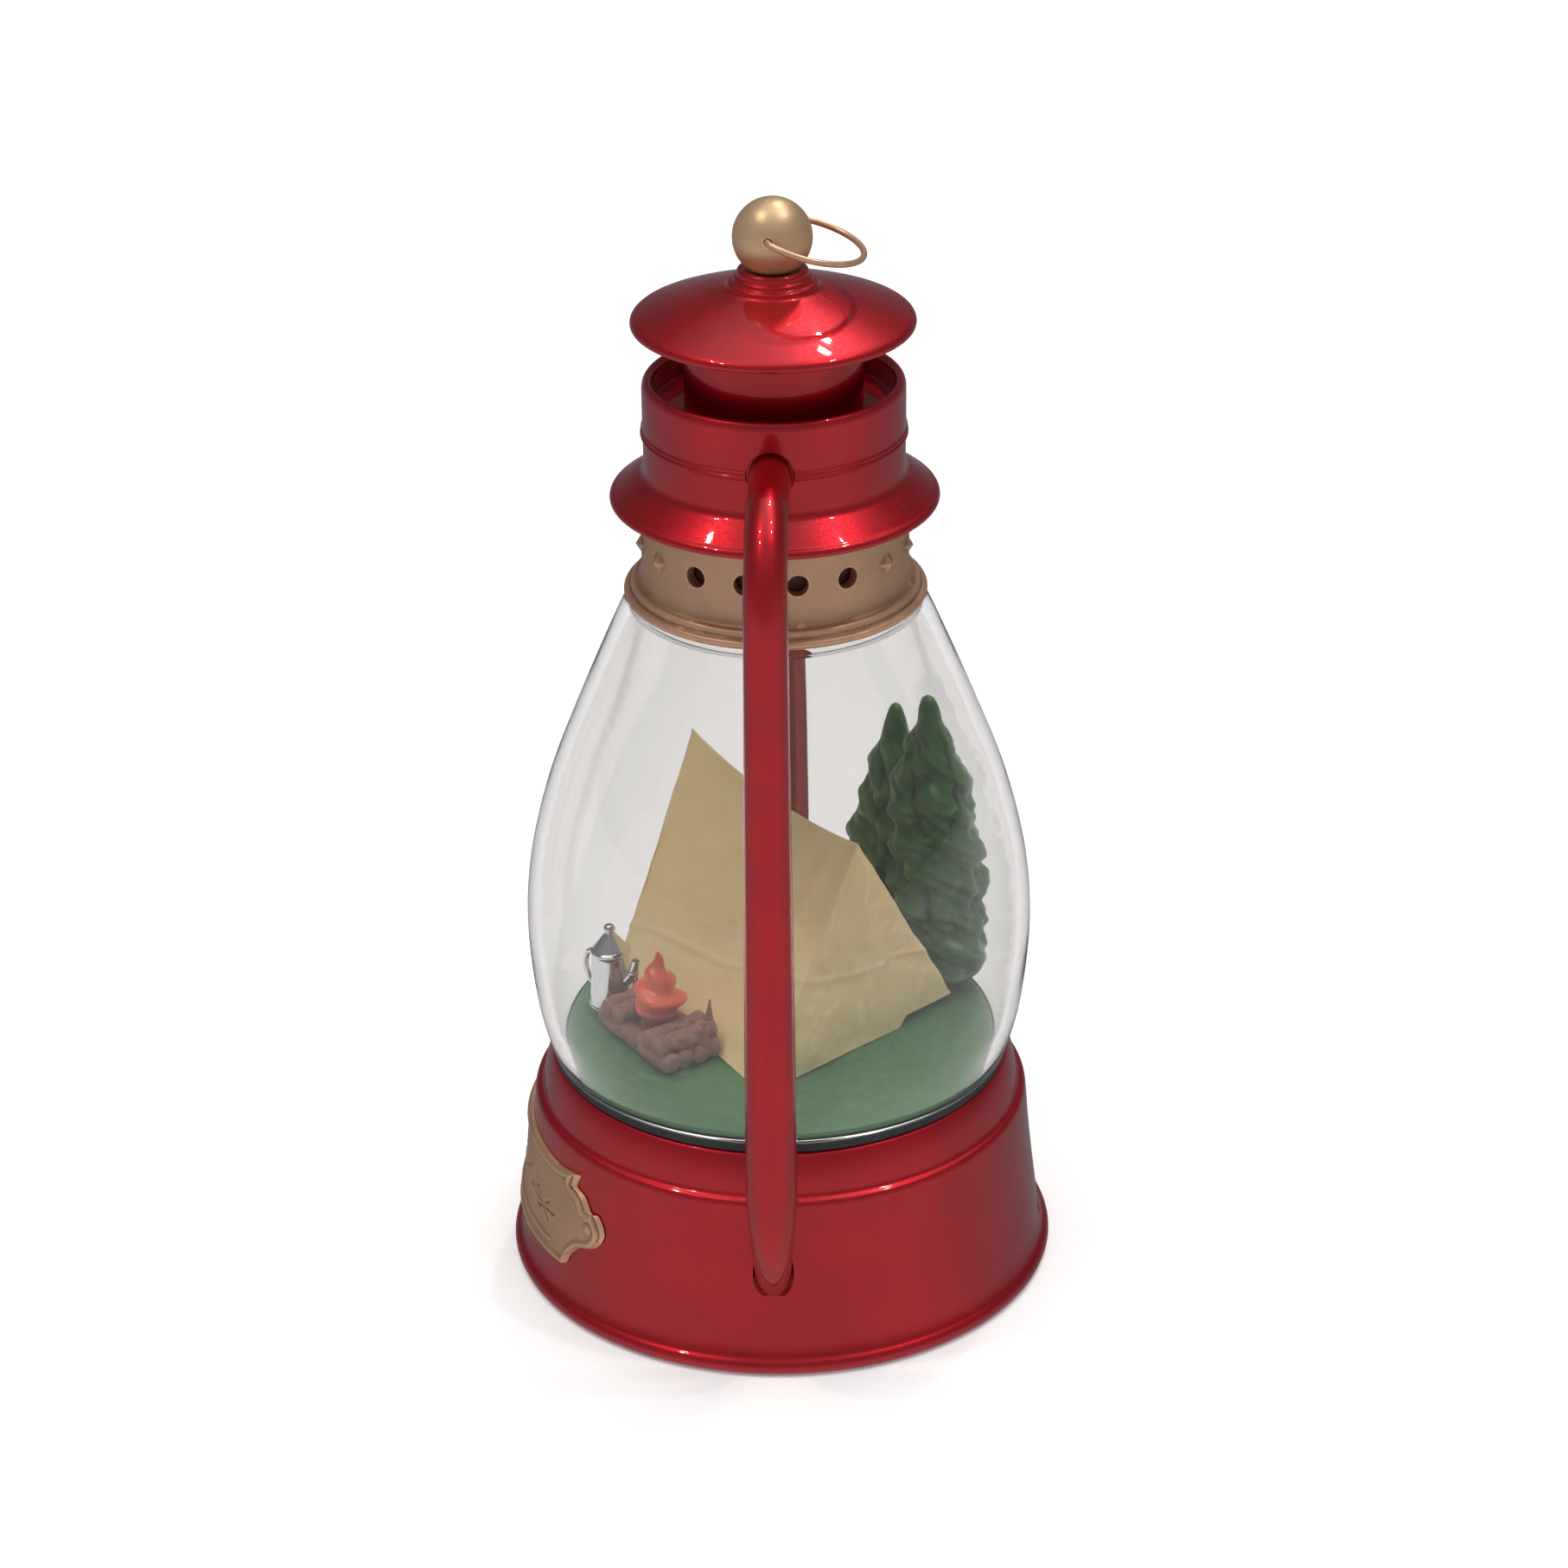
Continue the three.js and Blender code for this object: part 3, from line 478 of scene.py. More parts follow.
def painted_resin(name, main, light, pattern_mm, relief_mm, rough, coat=0.0):
    """Hand-painted moulded resin: a base coat, with the light colour on what stands proud as a painted
    highlight, so creases stay darker as painted shade.
    """
    material, tree, shader, place = begun(
        name, Roughness=rough, Coat_Weight=coat, Coat_Roughness=0.25
    )
    patch = add(tree, NOISE, {"Vector": place, "Scale": 1 / (pattern_mm * MM), "Detail": 5.0})
    bend = add(tree, GEOMETRY, {}, "Pointiness")
    # What stands proud gets the light colour as a painted highlight, and creases keep the darker base coat
    # as painted shade.
    proud_highlight = add(tree, RANGE, {"Value": bend, "From Min": 0.47, "From Max": 0.58, "To Max": 0.7})
    patch_and_highlight = add(tree, MATH, {0: patch, 1: 0.6, 2: proud_highlight}, operation="MULTIPLY_ADD")
    tone = add(tree, RAMP, {"Fac": patch_and_highlight}, stops=((0.2, main), (0.85, light)))
    grain = add(tree, BUMP, {"Height": patch, "Strength": 0.5, "Distance": relief_mm * MM})
    fed(shader, {"Base Color": tone, "Normal": grain})
    return material


def flame_resin(name, colours):
    """Tinted translucent resin, cast in a swirl: light scatters inside it, purple low and orange high."""
    material, tree, shader, place = begun(
        name,
        Roughness=0.3,
        Subsurface_Weight=0.5,
        Subsurface_Radius=(1.0, 0.35, 0.15),
        Subsurface_Scale=0.0012,
        Coat_Weight=0.4,
        Coat_Roughness=0.1,
    )
    low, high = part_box("flame")
    height = add(tree, "ShaderNodeSeparateXYZ", {0: place}, "Z")
    patch = add(tree, NOISE, {"Vector": place, "Scale": 1 / 0.0015, "Detail": 2.0})
    level = add(tree, RANGE, {"Value": height, "From Min": low.z + 0.003, "From Max": high.z})
    mixed = add(tree, MATH, {0: patch, 1: 0.4, 2: level}, operation="MULTIPLY_ADD")
    stops = ((0.12, linear("#b25c68")), (0.42, colours.flame), (1.0, linear("#d0583a")))
    fed(shader, {"Base Color": add(tree, RAMP, {"Fac": mixed}, stops=stops)})
    return material


def plated(name, tint, rough, streak_mm):
    """Bright metal plating: sharp reflections, with the soft streaks that handling leaves."""
    material, tree, shader, place = begun(name, Metallic=1.0, Base_Color=opaque(linear(tint)))
    haze = add(tree, NOISE, {"Vector": place, "Scale": 1 / (streak_mm * MM), "Detail": 3.0})
    dull = add(tree, RANGE, {"Value": haze, "To Min": rough, "To Max": rough + 0.14})
    fed(shader, {"Roughness": dull})
    return material


def moulded_plastic(name, hex_colour, rough):
    """Injection-moulded plastic with a fine spark-eroded texture, which breaks up its shine."""
    material, tree, shader, place = begun(name, Roughness=rough)
    tone = add(tree, NOISE, {"Vector": place, "Scale": 1 / 0.006, "Detail": 2.0})
    spark = add(tree, NOISE, {"Vector": place, "Scale": 1 / 0.00025, "Detail": 2.0})
    main = np.array(linear(hex_colour))
    base = add(tree, RAMP, {"Fac": tone}, stops=((0.3, 0.8 * main), (0.7, 1.2 * main)))
    grain = add(tree, BUMP, {"Height": spark, "Strength": 0.3, "Distance": 0.00004})
    fed(shader, {"Base Color": base, "Normal": grain})
    return material


LACQUER = "Candy red lacquer over silver flake"
BLACK_ABS = ("Spark-textured black ABS", moulded_plastic, "#1c1d1f", 0.5)
ZINC = ("Zinc-plated steel", plated, "#b9bcbf", 0.22, 2.0)


# ------------------------------------------------------------------ side pipes
PIPE_X = 25.5  # how far out the straight part of a side pipe stands
PIPE_TOP = 80.7
PIPE_BEND = 8.0
PIPE_START = 10.55
PIPE_THIN, PIPE_THICK, PIPE_TIP = 1.82, 2.245, 1.45
SOCKET_GAP = 0.28


def pipe_surface(extra=0.0):
    """Right-hand pipe: straight out of the drum, a quarter turn down, a long drop, and a foot that
    tucks into the skirt. Its radius grows slowly on the way down and shrinks at the foot."""
    bend_x, bend_z = PIPE_X - PIPE_BEND, PIPE_TOP - PIPE_BEND
    drop_end = 17.5
    swell_end = 0.86  # share of its length, from the drum
    out = np.column_stack((np.linspace(PIPE_START, bend_x, 14), np.full(14, PIPE_TOP)))
    turn = arc((bend_x, bend_z), PIPE_BEND, 90, 0, 28)
    drop = np.column_stack((np.full(50, PIPE_X), np.linspace(bend_z, drop_end, 50)))
    foot = bezier([(PIPE_X, drop_end), (PIPE_X, 13.6), (24.05, 10.4), (22.35, 8.5)], 26)
    route = np.vstack((out, turn[1:], drop[1:], foot[1:]))
    path = np.column_stack((route[:, 0], np.zeros(len(route)), route[:, 1]))
    walked = np.concatenate(([0], np.cumsum(np.linalg.norm(np.diff(path, axis=0), axis=1))))
    share = walked / walked[-1]
    swell = PIPE_THIN + (PIPE_THICK - PIPE_THIN) * ease(share, 0.1, swell_end)
    taper = PIPE_THICK + (PIPE_TIP - PIPE_THICK) * (share - swell_end) / (1 - swell_end)
    radius = np.where(share < swell_end, swell, taper) + extra
    return swept(path, radius, ACROSS)


def pipe_sockets():
    """The two pipes, a little thicker, to cut their sockets with."""
    hollow = pipe_surface(SOCKET_GAP)
    return [shaped(f"socket_{i}", grid(placed(hollow, i * math.pi))) for i in (0, 1)]


class LANTERN_OT_side_pipes(bpy.types.Operator):
    """Makes the two side pipes"""

    bl_idname = "lantern.side_pipes"
    bl_label = "Side pipes"

    def execute(self, context):
        material = finish(LACQUER, candy_red_lacquer, context.scene.lantern_colours)
        surface = pipe_surface()
        for side, turn in (("right", 0), ("left", math.pi)):
            piece = shaped(f"{side}_side_pipe", grid(placed(surface, turn)))
            settled(piece, [f"side_tube_{side}"], material, 50)
        return {"FINISHED"}


# ------------------------------------------------------------------ base
COVER_SCREWS = [placed(np.array((17.5, 0, 0)), math.radians(angle)) for angle in (30, 150, 270)]
BOSS_R, PILOT_R = 2, 0.78
LED_BORE_R = 1.8
COVER_TOP = 2.4


def upright(name, radius, low, high, at=(0, 0), sides=SMALL_SIDES):
    """A plain upright rod, for bores and bosses."""
    outline = np.array([(0, low), (radius, low), (radius, high), (0, high)])
    return shaped(name, grid(placed(turned(outline, sides), 0, (*at, 0))))


def screw_rods(name, radius, low, high):
    """One upright rod at each cover screw."""
    return [upright(f"{name}_{i}", radius, low, high, at[:2]) for i, at in enumerate(COVER_SCREWS)]


def base_outline():
    """Skirt from the inner edge of the foot, round the rolled lip, up to the deck and back inside."""
    lip = 0.8
    return np.vstack(
        (
            [(22.6, 0.25), (22.85, 0)],
            arc((FOOT_R - lip, lip), lip, -90, 62, 20),
            bow((24.57, 1.51), (24.02, 1.8), (23.85, 4.2), 12)[1:],
            bow((23.85, 4.2), (23.1, 9.6), (22.75, 14.3), 20)[1:],
            bow((22.75, 14.3), (22.68, 15.2), (22.6, 16.0), 6)[1:],
            bow((22.6, 16.0), (22.55, 16.55), (22.2, 16.68), 12)[1:],
            bow((22.2, 16.68), (21.84, 16.8), (21.79, 17.15), 8)[1:],
            bow((21.79, 17.15), (21.5, 19.25), (20.95, 20.2), 14)[1:],
            bow((20.95, 20.2), (20.75, DECK_TOP - 0.02), (20.4, DECK_TOP), 8)[1:],
            [(0, DECK_TOP), (0, 19.1), (19.6, 19.1)],
            bow((19.6, 19.1), (20.6, 17.8), (21.1, 14.3), 8)[1:],
            [(22.3, 4.2), (22.6, 2.6)],
        )
    )


class LANTERN_OT_base(bpy.types.Operator):
    """Makes the turned base shell with its pipe sockets and screw bosses"""

    bl_idname = "lantern.base"
    bl_label = "Base"

    def execute(self, context):
        piece = lathed("turned_base_shell", base_outline())
        bore = upright("led_bore", LED_BORE_R, 18, 22, (LED_X, LED_Y))
        worked(piece, "DIFFERENCE", bore, *pipe_sockets())
        worked(piece, "UNION", *screw_rods("boss", BOSS_R, COVER_TOP, 19.5))
        worked(piece, "DIFFERENCE", *screw_rods("pilot", PILOT_R, 1, 10))
        lacquer = finish(LACQUER, candy_red_lacquer, context.scene.lantern_colours)
        settled(piece, ["base_shell"], lacquer, 40)
        return {"FINISHED"}


# ------------------------------------------------------------------ globe, gasket and ground
GLOBE_SPOTS = [  # radius and height
    (21, GASKET_TOP), (22.1, 26.4), (GLOBE_R, 33.5), (22.2, 40), (20.5, 47),
    (18, 53.7), (15.1, 60.7), (13.2, 64.9), (12.35, 65.6), (12.1, GLOBE_TOP),
]
GLOBE_FOOT_R = 20.43  # middle of the globe's lower lip
GASKET_INNER, GASKET_OUTER = 19.35, 20.75
GRASS_FLAT_R, GRASS_FOOT_R = 18.6, 19.2


class LANTERN_OT_globe(bpy.types.Operator):
    """Makes the clear globe and the gasket under it"""

    bl_idname = "lantern.globe"
    bl_label = "Globe and gasket"

    def execute(self, context):
        wall = context.scene.lantern_sizes.globe_wall / MM
        outer = spline(GLOBE_SPOTS, 110)
        slope = np.gradient(outer, axis=0)
        inward = np.column_stack((-slope[:, 1], slope[:, 0]))
        inner = outer + wall * inward / np.linalg.norm(inward, axis=1)[:, None]
        inner[:, 1] = np.clip(inner[:, 1], GASKET_TOP, GLOBE_TOP)
        outline = np.vstack((outer, inner[::-1], [(GLOBE_FOOT_R, GASKET_TOP)]))
        piece = lathed("clear_globe", outline)
        acrylic = finish("Clear moulded acrylic", clear_acrylic, context.scene.lantern_colours)
        settled(piece, ["globe"], acrylic, 50)
        ring = rounded(
            [
                (GASKET_INNER, DECK_TOP, 0.1), (GASKET_OUTER, DECK_TOP, 0.3),
                (GASKET_OUTER, GASKET_TOP, 0.25), (GASKET_INNER, GASKET_TOP, 0.1),
            ]
        )
        gasket = lathed("rubber_gasket", ring)
        rubber = finish("Moulded black rubber", moulded_plastic, "#232627", 0.55)
        settled(gasket, ["globe_gasket"], rubber)
        return {"FINISHED"}


class LANTERN_OT_ground(bpy.types.Operator):
    """Makes the grass-textured ground disc"""

    bl_idname = "lantern.ground"
    bl_label = "Ground"

    def execute(self, context):
        colours = context.scene.lantern_colours
        top = np.column_stack((np.linspace(GRASS_FLAT_R, 0, 90), np.full(90, GROUND_TOP)))
        foot = [(0, DECK_TOP), (GRASS_FOOT_R, DECK_TOP), (GRASS_FOOT_R, 21.9), (GROUND_R, 22)]
        brow = bow((GROUND_R, 22.3), (19.5, 22.65), (GRASS_FLAT_R, GROUND_TOP), 6)
        outline = np.vstack((foot, brow, top[1:]))
        surface = turned(outline)
        lumps = 0.16 * crumple(surface, 3.5, 11) + 0.1 * crumple(surface, 0.9, 12)
        on_top = ease(surface[..., 2], 22.4, GROUND_TOP - 0.01)
        surface[..., 2] += (lumps - 0.12) * on_top
        piece = shaped("grass_ground", grid(surface))
        worked(piece, "DIFFERENCE", upright("led_bore", LED_BORE_R, 20, 24, (LED_X, LED_Y)))
        material = finish(
            "Painted grass texture", painted_resin, colours.grass, linear("#54895a"), 0.9, 0.2, 0.6
        )
        settled(piece, ["ground_disc"], material, 60)
        return {"FINISHED"}


# ------------------------------------------------------------------ campsite
TENT_HEM = {"a": (-10.2, -16.3), "b": (13.5, -1.2), "c": (-3, 16.2), "d": (-15.2, -1)}
TENT_FRONT = (-12.7, -8.4, 46.0)  # ridge end over the entrance
TENT_BACK = (5.8, 7.2, 43.6)
TENT_MIDDLE = (-4.0, -0.5)
TENT_COLUMNS = (12, 110, 80, 110, 12)  # door flap, front panel, end, rear panel, door flap
TENT_ROWS = 90
DOOR_FLAP = 0.26  # share of the open end that each door flap covers


def canvas_surface(inset):
    """Ruled surface between the hem and the ridge: P(u, v) = hem(u) + v (ridge(u) - hem(u)), pushed out
    by folds. u runs from one door edge round the four sides to the other, v from the hem up."""
    hem = {key: np.array(spot, float) for key, spot in TENT_HEM.items()}
    for key, spot in hem.items():
        inwards = np.array(TENT_MIDDLE) - spot
        hem[key] = spot + inset * inwards / np.linalg.norm(inwards) * 1.3
    door_a = hem["a"] + DOOR_FLAP * (hem["d"] - hem["a"])
    door_d = hem["d"] + DOOR_FLAP * (hem["a"] - hem["d"])
    stations = np.concatenate(([0], np.cumsum(TENT_COLUMNS)))
    u = np.arange(stations[-1] + 1)
    low = np.array([door_a, hem["a"], hem["b"], hem["c"], hem["d"], door_d])
    front, back = (np.array(end) - (0, 0, 1.4 * inset) for end in (TENT_FRONT, TENT_BACK))
    inwards = (back - front) / np.linalg.norm(back - front)
    front, back = front + inset * inwards, back - inset * inwards
    high = np.array([front, front, back, back, front, front])
    foot = np.column_stack([np.interp(u, stations, low[:, k]) for k in (0, 1)])
    ridge = np.column_stack([np.interp(u, stations, high[:, k]) for k in (0, 1, 2)])
    along = (ridge[:, 0] - front[0]) / (back[0] - front[0])
    ridge[:, 2] -= 1.3 * np.sin(np.pi * along) ** 0.8
    fold = np.hanning(9)
    fold /= fold.sum()
    for line in (foot, ridge):
        for k in range(line.shape[1]):
            line[:, k] = np.convolve(np.pad(line[:, k], 4, "edge"), fold, "valid")
    end_side = (u - stations[2]) / TENT_COLUMNS[2]
    lift = 1.0 * ease(end_side, 0.7, 0.74) * (1 - ease(end_side, 1.05, 1.2))
    foot = np.column_stack((foot, GROUND_TOP + 0.05 + lift))
    v = np.linspace(0, 1, TENT_ROWS)[:, None, None]
    surface = foot + v * (ridge - foot)
    du = np.gradient(surface, axis=1)
    dv = np.gradient(surface, axis=0)
    out = np.cross(du, dv)
    size = np.linalg.norm(out, axis=-1, keepdims=True)
    out = out / np.maximum(size, 1e-9)
    side = (u - stations[1]) / TENT_COLUMNS[1]
    v = v[..., 0]
    free = 1 - v**6
    crease = 0.17 + 0.27 * np.clip(side, 0, 1) - 0.14 * np.clip(end_side, 0, 1) + 0.012 * np.sin(9 * side)
    seam = 0.1 * np.exp(-(((v - crease) / 0.014) ** 2))
    flare = -0.4 * np.exp(-(((v - crease) / 0.24) ** 2))
    toward_back = np.exp(-(((side - 0.86) / 0.13) ** 2)) * ease(v, 0.12, 0.45)
    rays = 0.3 * toward_back * np.sin(34 * (side - 1) / (1.25 - 0.75 * v) + 2)
    at_corner = np.exp(-(((end_side - 0.1) / 0.12) ** 2))
    end_rays = 0.12 * at_corner * np.sin(22 * end_side) * ease(v, 0.2, 0.6)
    belly = 0.55 * np.sin(np.pi * np.clip(end_side, 0, 1)) * np.sin(np.pi * v)
    sag = -0.8 * np.sin(np.pi * np.clip(side, 0, 1)) * np.sin(np.pi * v)
    loose = 0.3 * crumple(surface, 7, 3, 2) + 0.07 * crumple(surface, 1.8, 4, 2)
    push = (seam + flare + rays + end_rays + belly + sag + loose) * free * ease(v, -0.05, 0.06)
    return surface + out * push[..., None]


class LANTERN_OT_tent(bpy.types.Operator):
    """Makes the ridge tent, moulded as a thin shell of folded canvas"""

    bl_idname = "lantern.tent"
    bl_label = "Tent"

    def execute(self, context):
        outer = canvas_surface(0.0)
        inner = canvas_surface(context.scene.lantern_sizes.canvas / MM)
        walls = [grid(surface, columns=False) for surface in (outer, inner)]
        hem = grid(np.stack((outer[0], inner[0])), columns=False)
        doors = [grid(np.stack((outer[:, k], inner[:, k])), columns=False) for k in (0, -1)]
        piece = shaped("canvas_tent", *walls, hem, *doors)
        colours = context.scene.lantern_colours
        material = finish(
            "Satin tan tent paint", painted_resin, colours.canvas, linear("#fce5b4"), 3, 0.04, 0.5
        )
        settled(piece, ["tent"], material, 60)
        return {"FINISHED"}


def pine_surface(height, reach, lean, seed):
    """Surface of revolution with a blunt tip whose radius swells at each tier of branches and is
    crumpled by a random field; each level is then moved sideways by lean (z / height)."""
    below_tip = np.linspace(0, height - 1, 200)
    girth = np.interp(
        below_tip / height,
        [0, 0.015, 0.04, 0.1, 0.18, 0.3, 0.5, 0.75, 0.93, 1],
        [0, 0.15, 0.22, 0.32, 0.55, 0.8, 0.95, 1.05, 1.0, 0.55],
    )
    outline = np.column_stack((reach * girth, height - below_tip))
    outline = np.vstack((outline, [(0.9, 1.2), (0.95, 0), (0, 0)]))
    surface = turned(outline, 120)
    angle = np.linspace(0, 2 * np.pi, 120, endpoint=False)
    level = surface[..., 2]
    tier = np.sin(2 * np.pi * (level / 3.6 + 0.35 * np.sin(2 * angle + seed)))
    leaf = np.sin(2 * np.pi * (level / 1.7) + 5 * angle + seed) * np.sin(7 * angle + level)
    rough = np.abs(crumple(surface * (1, 1, 0.6), 3.0, seed, 2))
    swell = 1 + 0.09 * tier + 0.03 * leaf + 0.3 * (rough - 0.35)
    soften = ease(level, 1.2, 2.6) * (0.25 + 0.75 * ease(height - level, 0.2, 5))
    swell = 1 + (swell - 1) * soften
    surface[..., :2] *= swell[..., None]
    surface[..., 1] += lean * level / height
    return surface


class LANTERN_OT_pines(bpy.types.Operator):
    """Makes the two pine trees"""

    bl_idname = "lantern.pines"
    bl_label = "Pines"

    def execute(self, context):
        colours = context.scene.lantern_colours
        material = finish(
            "Semi-gloss pine paint", painted_resin, colours.pine, linear("#4c7640"), 1.6, 0.12, 0.42, 0.25
        )
        for name, node, foot, height, reach, lean, seed in (
            ("tall_pine", "pine_large", (-7.5, 15.2), 29.4, 4.3, -1.5, 5),
            ("short_pine", "pine_small", (-13.4, 10.2), 25.8, 3.7, 0.6, 8),
        ):
            surface = placed(pine_surface(height, reach, lean, seed), 0, (*foot, GROUND_TOP))
            settled(shaped(name, grid(surface)), [node], material, 180)
        return {"FINISHED"}


FIRE_TURN = math.radians(36.6)
LOG_R = 0.95
KINDLING = ((-4.6, 2.2, 5.4), (-5.1, 0.6, 4.2), (3.9, 2.6, 5.2), (5.2, 1.3, 3.9))  # x, y, height
FLAME_LEVELS = [0, 0.02, 0.22, 0.3, 0.44, 0.6, 0.75, 0.86, 0.97, 1]
FLAME_GIRTHS = [0.9, 1.0, 1.1, 1.75, 2.2, 1.8, 1.2, 0.6, 0.25, 0.0]


def log_surface(length_mm, across, up, turn, seed):
    """A short rod with rough bark: radius 1 + 0.3 of a random field, and slightly bent."""
    along = np.linspace(-length_mm / 2, length_mm / 2, 44)
    path = np.column_stack((along, across + 0.12 * np.sin(along + seed), up + LOG_R + 0 * along))
    ends = np.clip((length_mm / 2 - np.abs(along)) / 0.25, 0, 1)
    rod = swept(path, LOG_R * (0.78 + 0.22 * np.sqrt(ends)), ACROSS, 28)
    spread = np.concatenate((path[:1], path, path[-1:]))[:, None]
    bark = 1 + 0.17 * crumple(rod, 0.9, seed, 3)
    return placed(spread + (rod - spread) * bark[..., None], turn)


class LANTERN_OT_campfire(bpy.types.Operator):
    """Makes the stack of logs and the flame on it"""

    bl_idname = "lantern.campfire"
    bl_label = "Campfire"

    def execute(self, context):
        colours = context.scene.lantern_colours
        at = (LED_X, LED_Y, GROUND_TOP + 0.02)
        rows = [log_surface(11.6 - 0.5 * (i % 2), -2.25 + 1.5 * i, 0, 0, 20 + i) for i in range(4)]
        for i, across in enumerate((-4.3, -2.7, 2.7, 4.3)):
            rows.append(log_surface(6.2, across, 1.3, math.pi / 2, 30 + i))
        for x, y, height in KINDLING:
            level = np.linspace(0.6, height, 30)
            path = np.column_stack((x + 0.05 * level, y + 0.04 * level, level))
            girth = 0.5 * (1 - ease(level, 0.4 * height, height + 0.3)) + 0.06
            rows.append(swept(path, girth, ALONG, 20))
        pieces = [grid(placed(row, FIRE_TURN, at)) for row in rows]
        logs = shaped("stacked_logs", *pieces)
        bark = finish("Painted bark", painted_resin, colours.bark, linear("#9c7766"), 0.8, 0.16, 0.7)
        settled(logs, ["campfire_logs"], bark, 180)

        level = np.linspace(0, 1, 120)
        girth = np.interp(level, FLAME_LEVELS, FLAME_GIRTHS)
        girth = np.convolve(np.pad(girth, 3, "edge"), np.ones(7) / 7, "valid")
        girth[-1] = 0
        surface = turned(np.column_stack((girth, 0.4 + 8.6 * level)), 80)
        angle = np.linspace(0, 2 * np.pi, 80, endpoint=False)
        swirl = angle + 27 * level[:, None]
        lick = 1 + (0.17 * np.sin(swirl) + 0.06 * np.sin(3 * angle - 9 * level[:, None])) * ease(
            level[:, None], 0.26, 0.42
        )
        surface[..., :2] *= lick[..., None]
        surface[..., 2] += 0.3 * np.sin(swirl) * ease(level[:, None], 0.36, 0.55) * (1 - level[:, None])
        surface[..., 0] += 0.35 * np.sin(4.5 * level[:, None]) * level[:, None]
        bottom = surface[:1] * (0, 0, 1)
        flame = shaped("swirled_flame", grid(placed(np.concatenate((bottom, surface)), 0, at)))
        resin = finish("Translucent flame resin", flame_resin, colours)
        settled(flame, ["flame"], resin, 180)
        return {"FINISHED"}


class LANTERN_OT_coffee_pot(bpy.types.Operator):
    """Makes the chrome coffee pot with its peaked lid, spout and handle"""

    bl_idname = "lantern.coffee_pot"
    bl_label = "Coffee pot"

    def execute(self, context):
        outline = rounded(
            [
                (0, 0, 0), (2.15, 0, 0.3), (2.2, 0.5, 0.15), (2.08, 0.65, 0.1), (1.72, 5.5, 0.2),
                (1.92, 5.7, 0.1), (1.92, 5.95, 0.1), (1.7, 6.1, 0.1), (0.5, 7.6, 0.2), (0.42, 7.75, 0.1),
                (0.62, 8.05, 0.2), (0.4, 8.45, 0.2), (0, 8.5, 0),
            ]
        )
        spout_path = bow((1.3, 0, 2.9), (2.6, 0, 3.6), (2.85, 0, 5.5), 24)
        spout = swept(spout_path, np.linspace(0.62, 0.36, 24), ACROSS, 28)
        handle_path = bezier([(-1.5, 0, 5.2), (-3.6, 0, 5.6), (-3.2, 0, 1.8), (-1.8, 0, 1.8)], 40)
        handle = swept(handle_path, 0.28, ACROSS, 20)
        knob = turned(arc((0, 0), 0.55, -90, 90, 16), 32) * (1, 1, 0.9) + (2.55, 0, 4.15)
        at = (-1.9, -15.7, GROUND_TOP + 0.02)
        parts = [turned(outline, SMALL_SIDES), spout, handle, knob]
        pot = shaped("camp_coffee_pot", *[grid(placed(part, math.radians(60), at)) for part in parts])
        chrome = finish("Vacuum-plated chrome", plated, "#dfe1e3", 0.06, 1.5)
        settled(pot, ["coffee_pot"], chrome, 40)
        return {"FINISHED"}


# ------------------------------------------------------------------ collar
VENT_Z = 70.8
VENT_R = 0.95
COLLAR_WALL_R = 11.65
VENTS = 16
NUB_R, NUB_RISE = 0.95, 0.6


class LANTERN_OT_collar(bpy.types.Operator):
    """Makes the pierced bronze collar, with round vents and small pyramids"""

    bl_idname = "lantern.collar"
    bl_label = "Collar"

    def execute(self, context):
        colours = context.scene.lantern_colours
        wall = np.column_stack((np.full(56, COLLAR_WALL_R), np.linspace(68.4, COLLAR_TOP, 56)))
        outline = np.vstack(
            (
                rounded([(12.35, 66.55, 0), (12.7, COLLAR_LOW, 0.1), (13.1, COLLAR_LOW, 0.2)])[:-1],
                arc((12.95, COLLAR_LOW + 0.42), 0.3, -35, 75, 8),
                bow((12.85, 66.3), (12.66, 66.3), (12.62, 66.55), 5),
                bow((12.6, 66.75), (12.5, 66.95), (12.3, 66.98), 5),
                bow((12.3, 66.98), (11.72, 67.1), (COLLAR_WALL_R, 68.4), 12)[:-1],
                wall,
                [(10.65, COLLAR_TOP), (10.65, 67.7)],
            )
        )
        surface = turned(outline, 2 * ROUND_SIDES)
        angle = np.arctan2(surface[..., 1], surface[..., 0])
        reach = np.hypot(surface[..., 0], surface[..., 1])
        pitch = 2 * np.pi / VENTS
        offset = (angle % pitch) - pitch / 2
        across = offset * COLLAR_WALL_R
        up = surface[..., 2] - VENT_Z
        centre_angle = angle - offset
        plain = np.abs(np.cos(centre_angle)) < math.cos(math.radians(45))
        # A four-sided pyramid: |x| + |y| is 1 on its outline.
        point = np.clip(1 - (np.abs(across) + np.abs(up)) / NUB_R, 0, 1) * NUB_RISE
        point = np.where(plain & (reach > COLLAR_WALL_R - 0.2), point, 0)
        surface[..., :2] *= (1 + point / reach)[..., None]
        piece = shaped("pierced_collar", grid(surface, rows=True))
        bits = []
        for i in range(VENTS):
            turn = (i + 0.5) * pitch
            if abs(math.cos(turn)) > math.cos(math.radians(45)):
                rod = swept([(x, 0, VENT_Z) for x in (9.5, 11, 13.5)], VENT_R, UP)
                bits.append(shaped(f"vent_{i}", grid(placed(rod, turn))))
        worked(piece, "DIFFERENCE", *bits)
        bronze = finish("Bronze paint with painted highlight and shade", bronze_paint, colours.bronze, colours.bronze_shade, 0.36)
        settled(piece, ["vent_collar"], bronze, 38)
        return {"FINISHED"}


# ------------------------------------------------------------------ hood, drum, chimney and cap
SLEEVE_R, SLEEVE_INNER, SLEEVE_LOW = 10.45, 9.65, 68.2
DRUM_WALL_INNER, DRUM_WALL_R = 10.35, 11.3


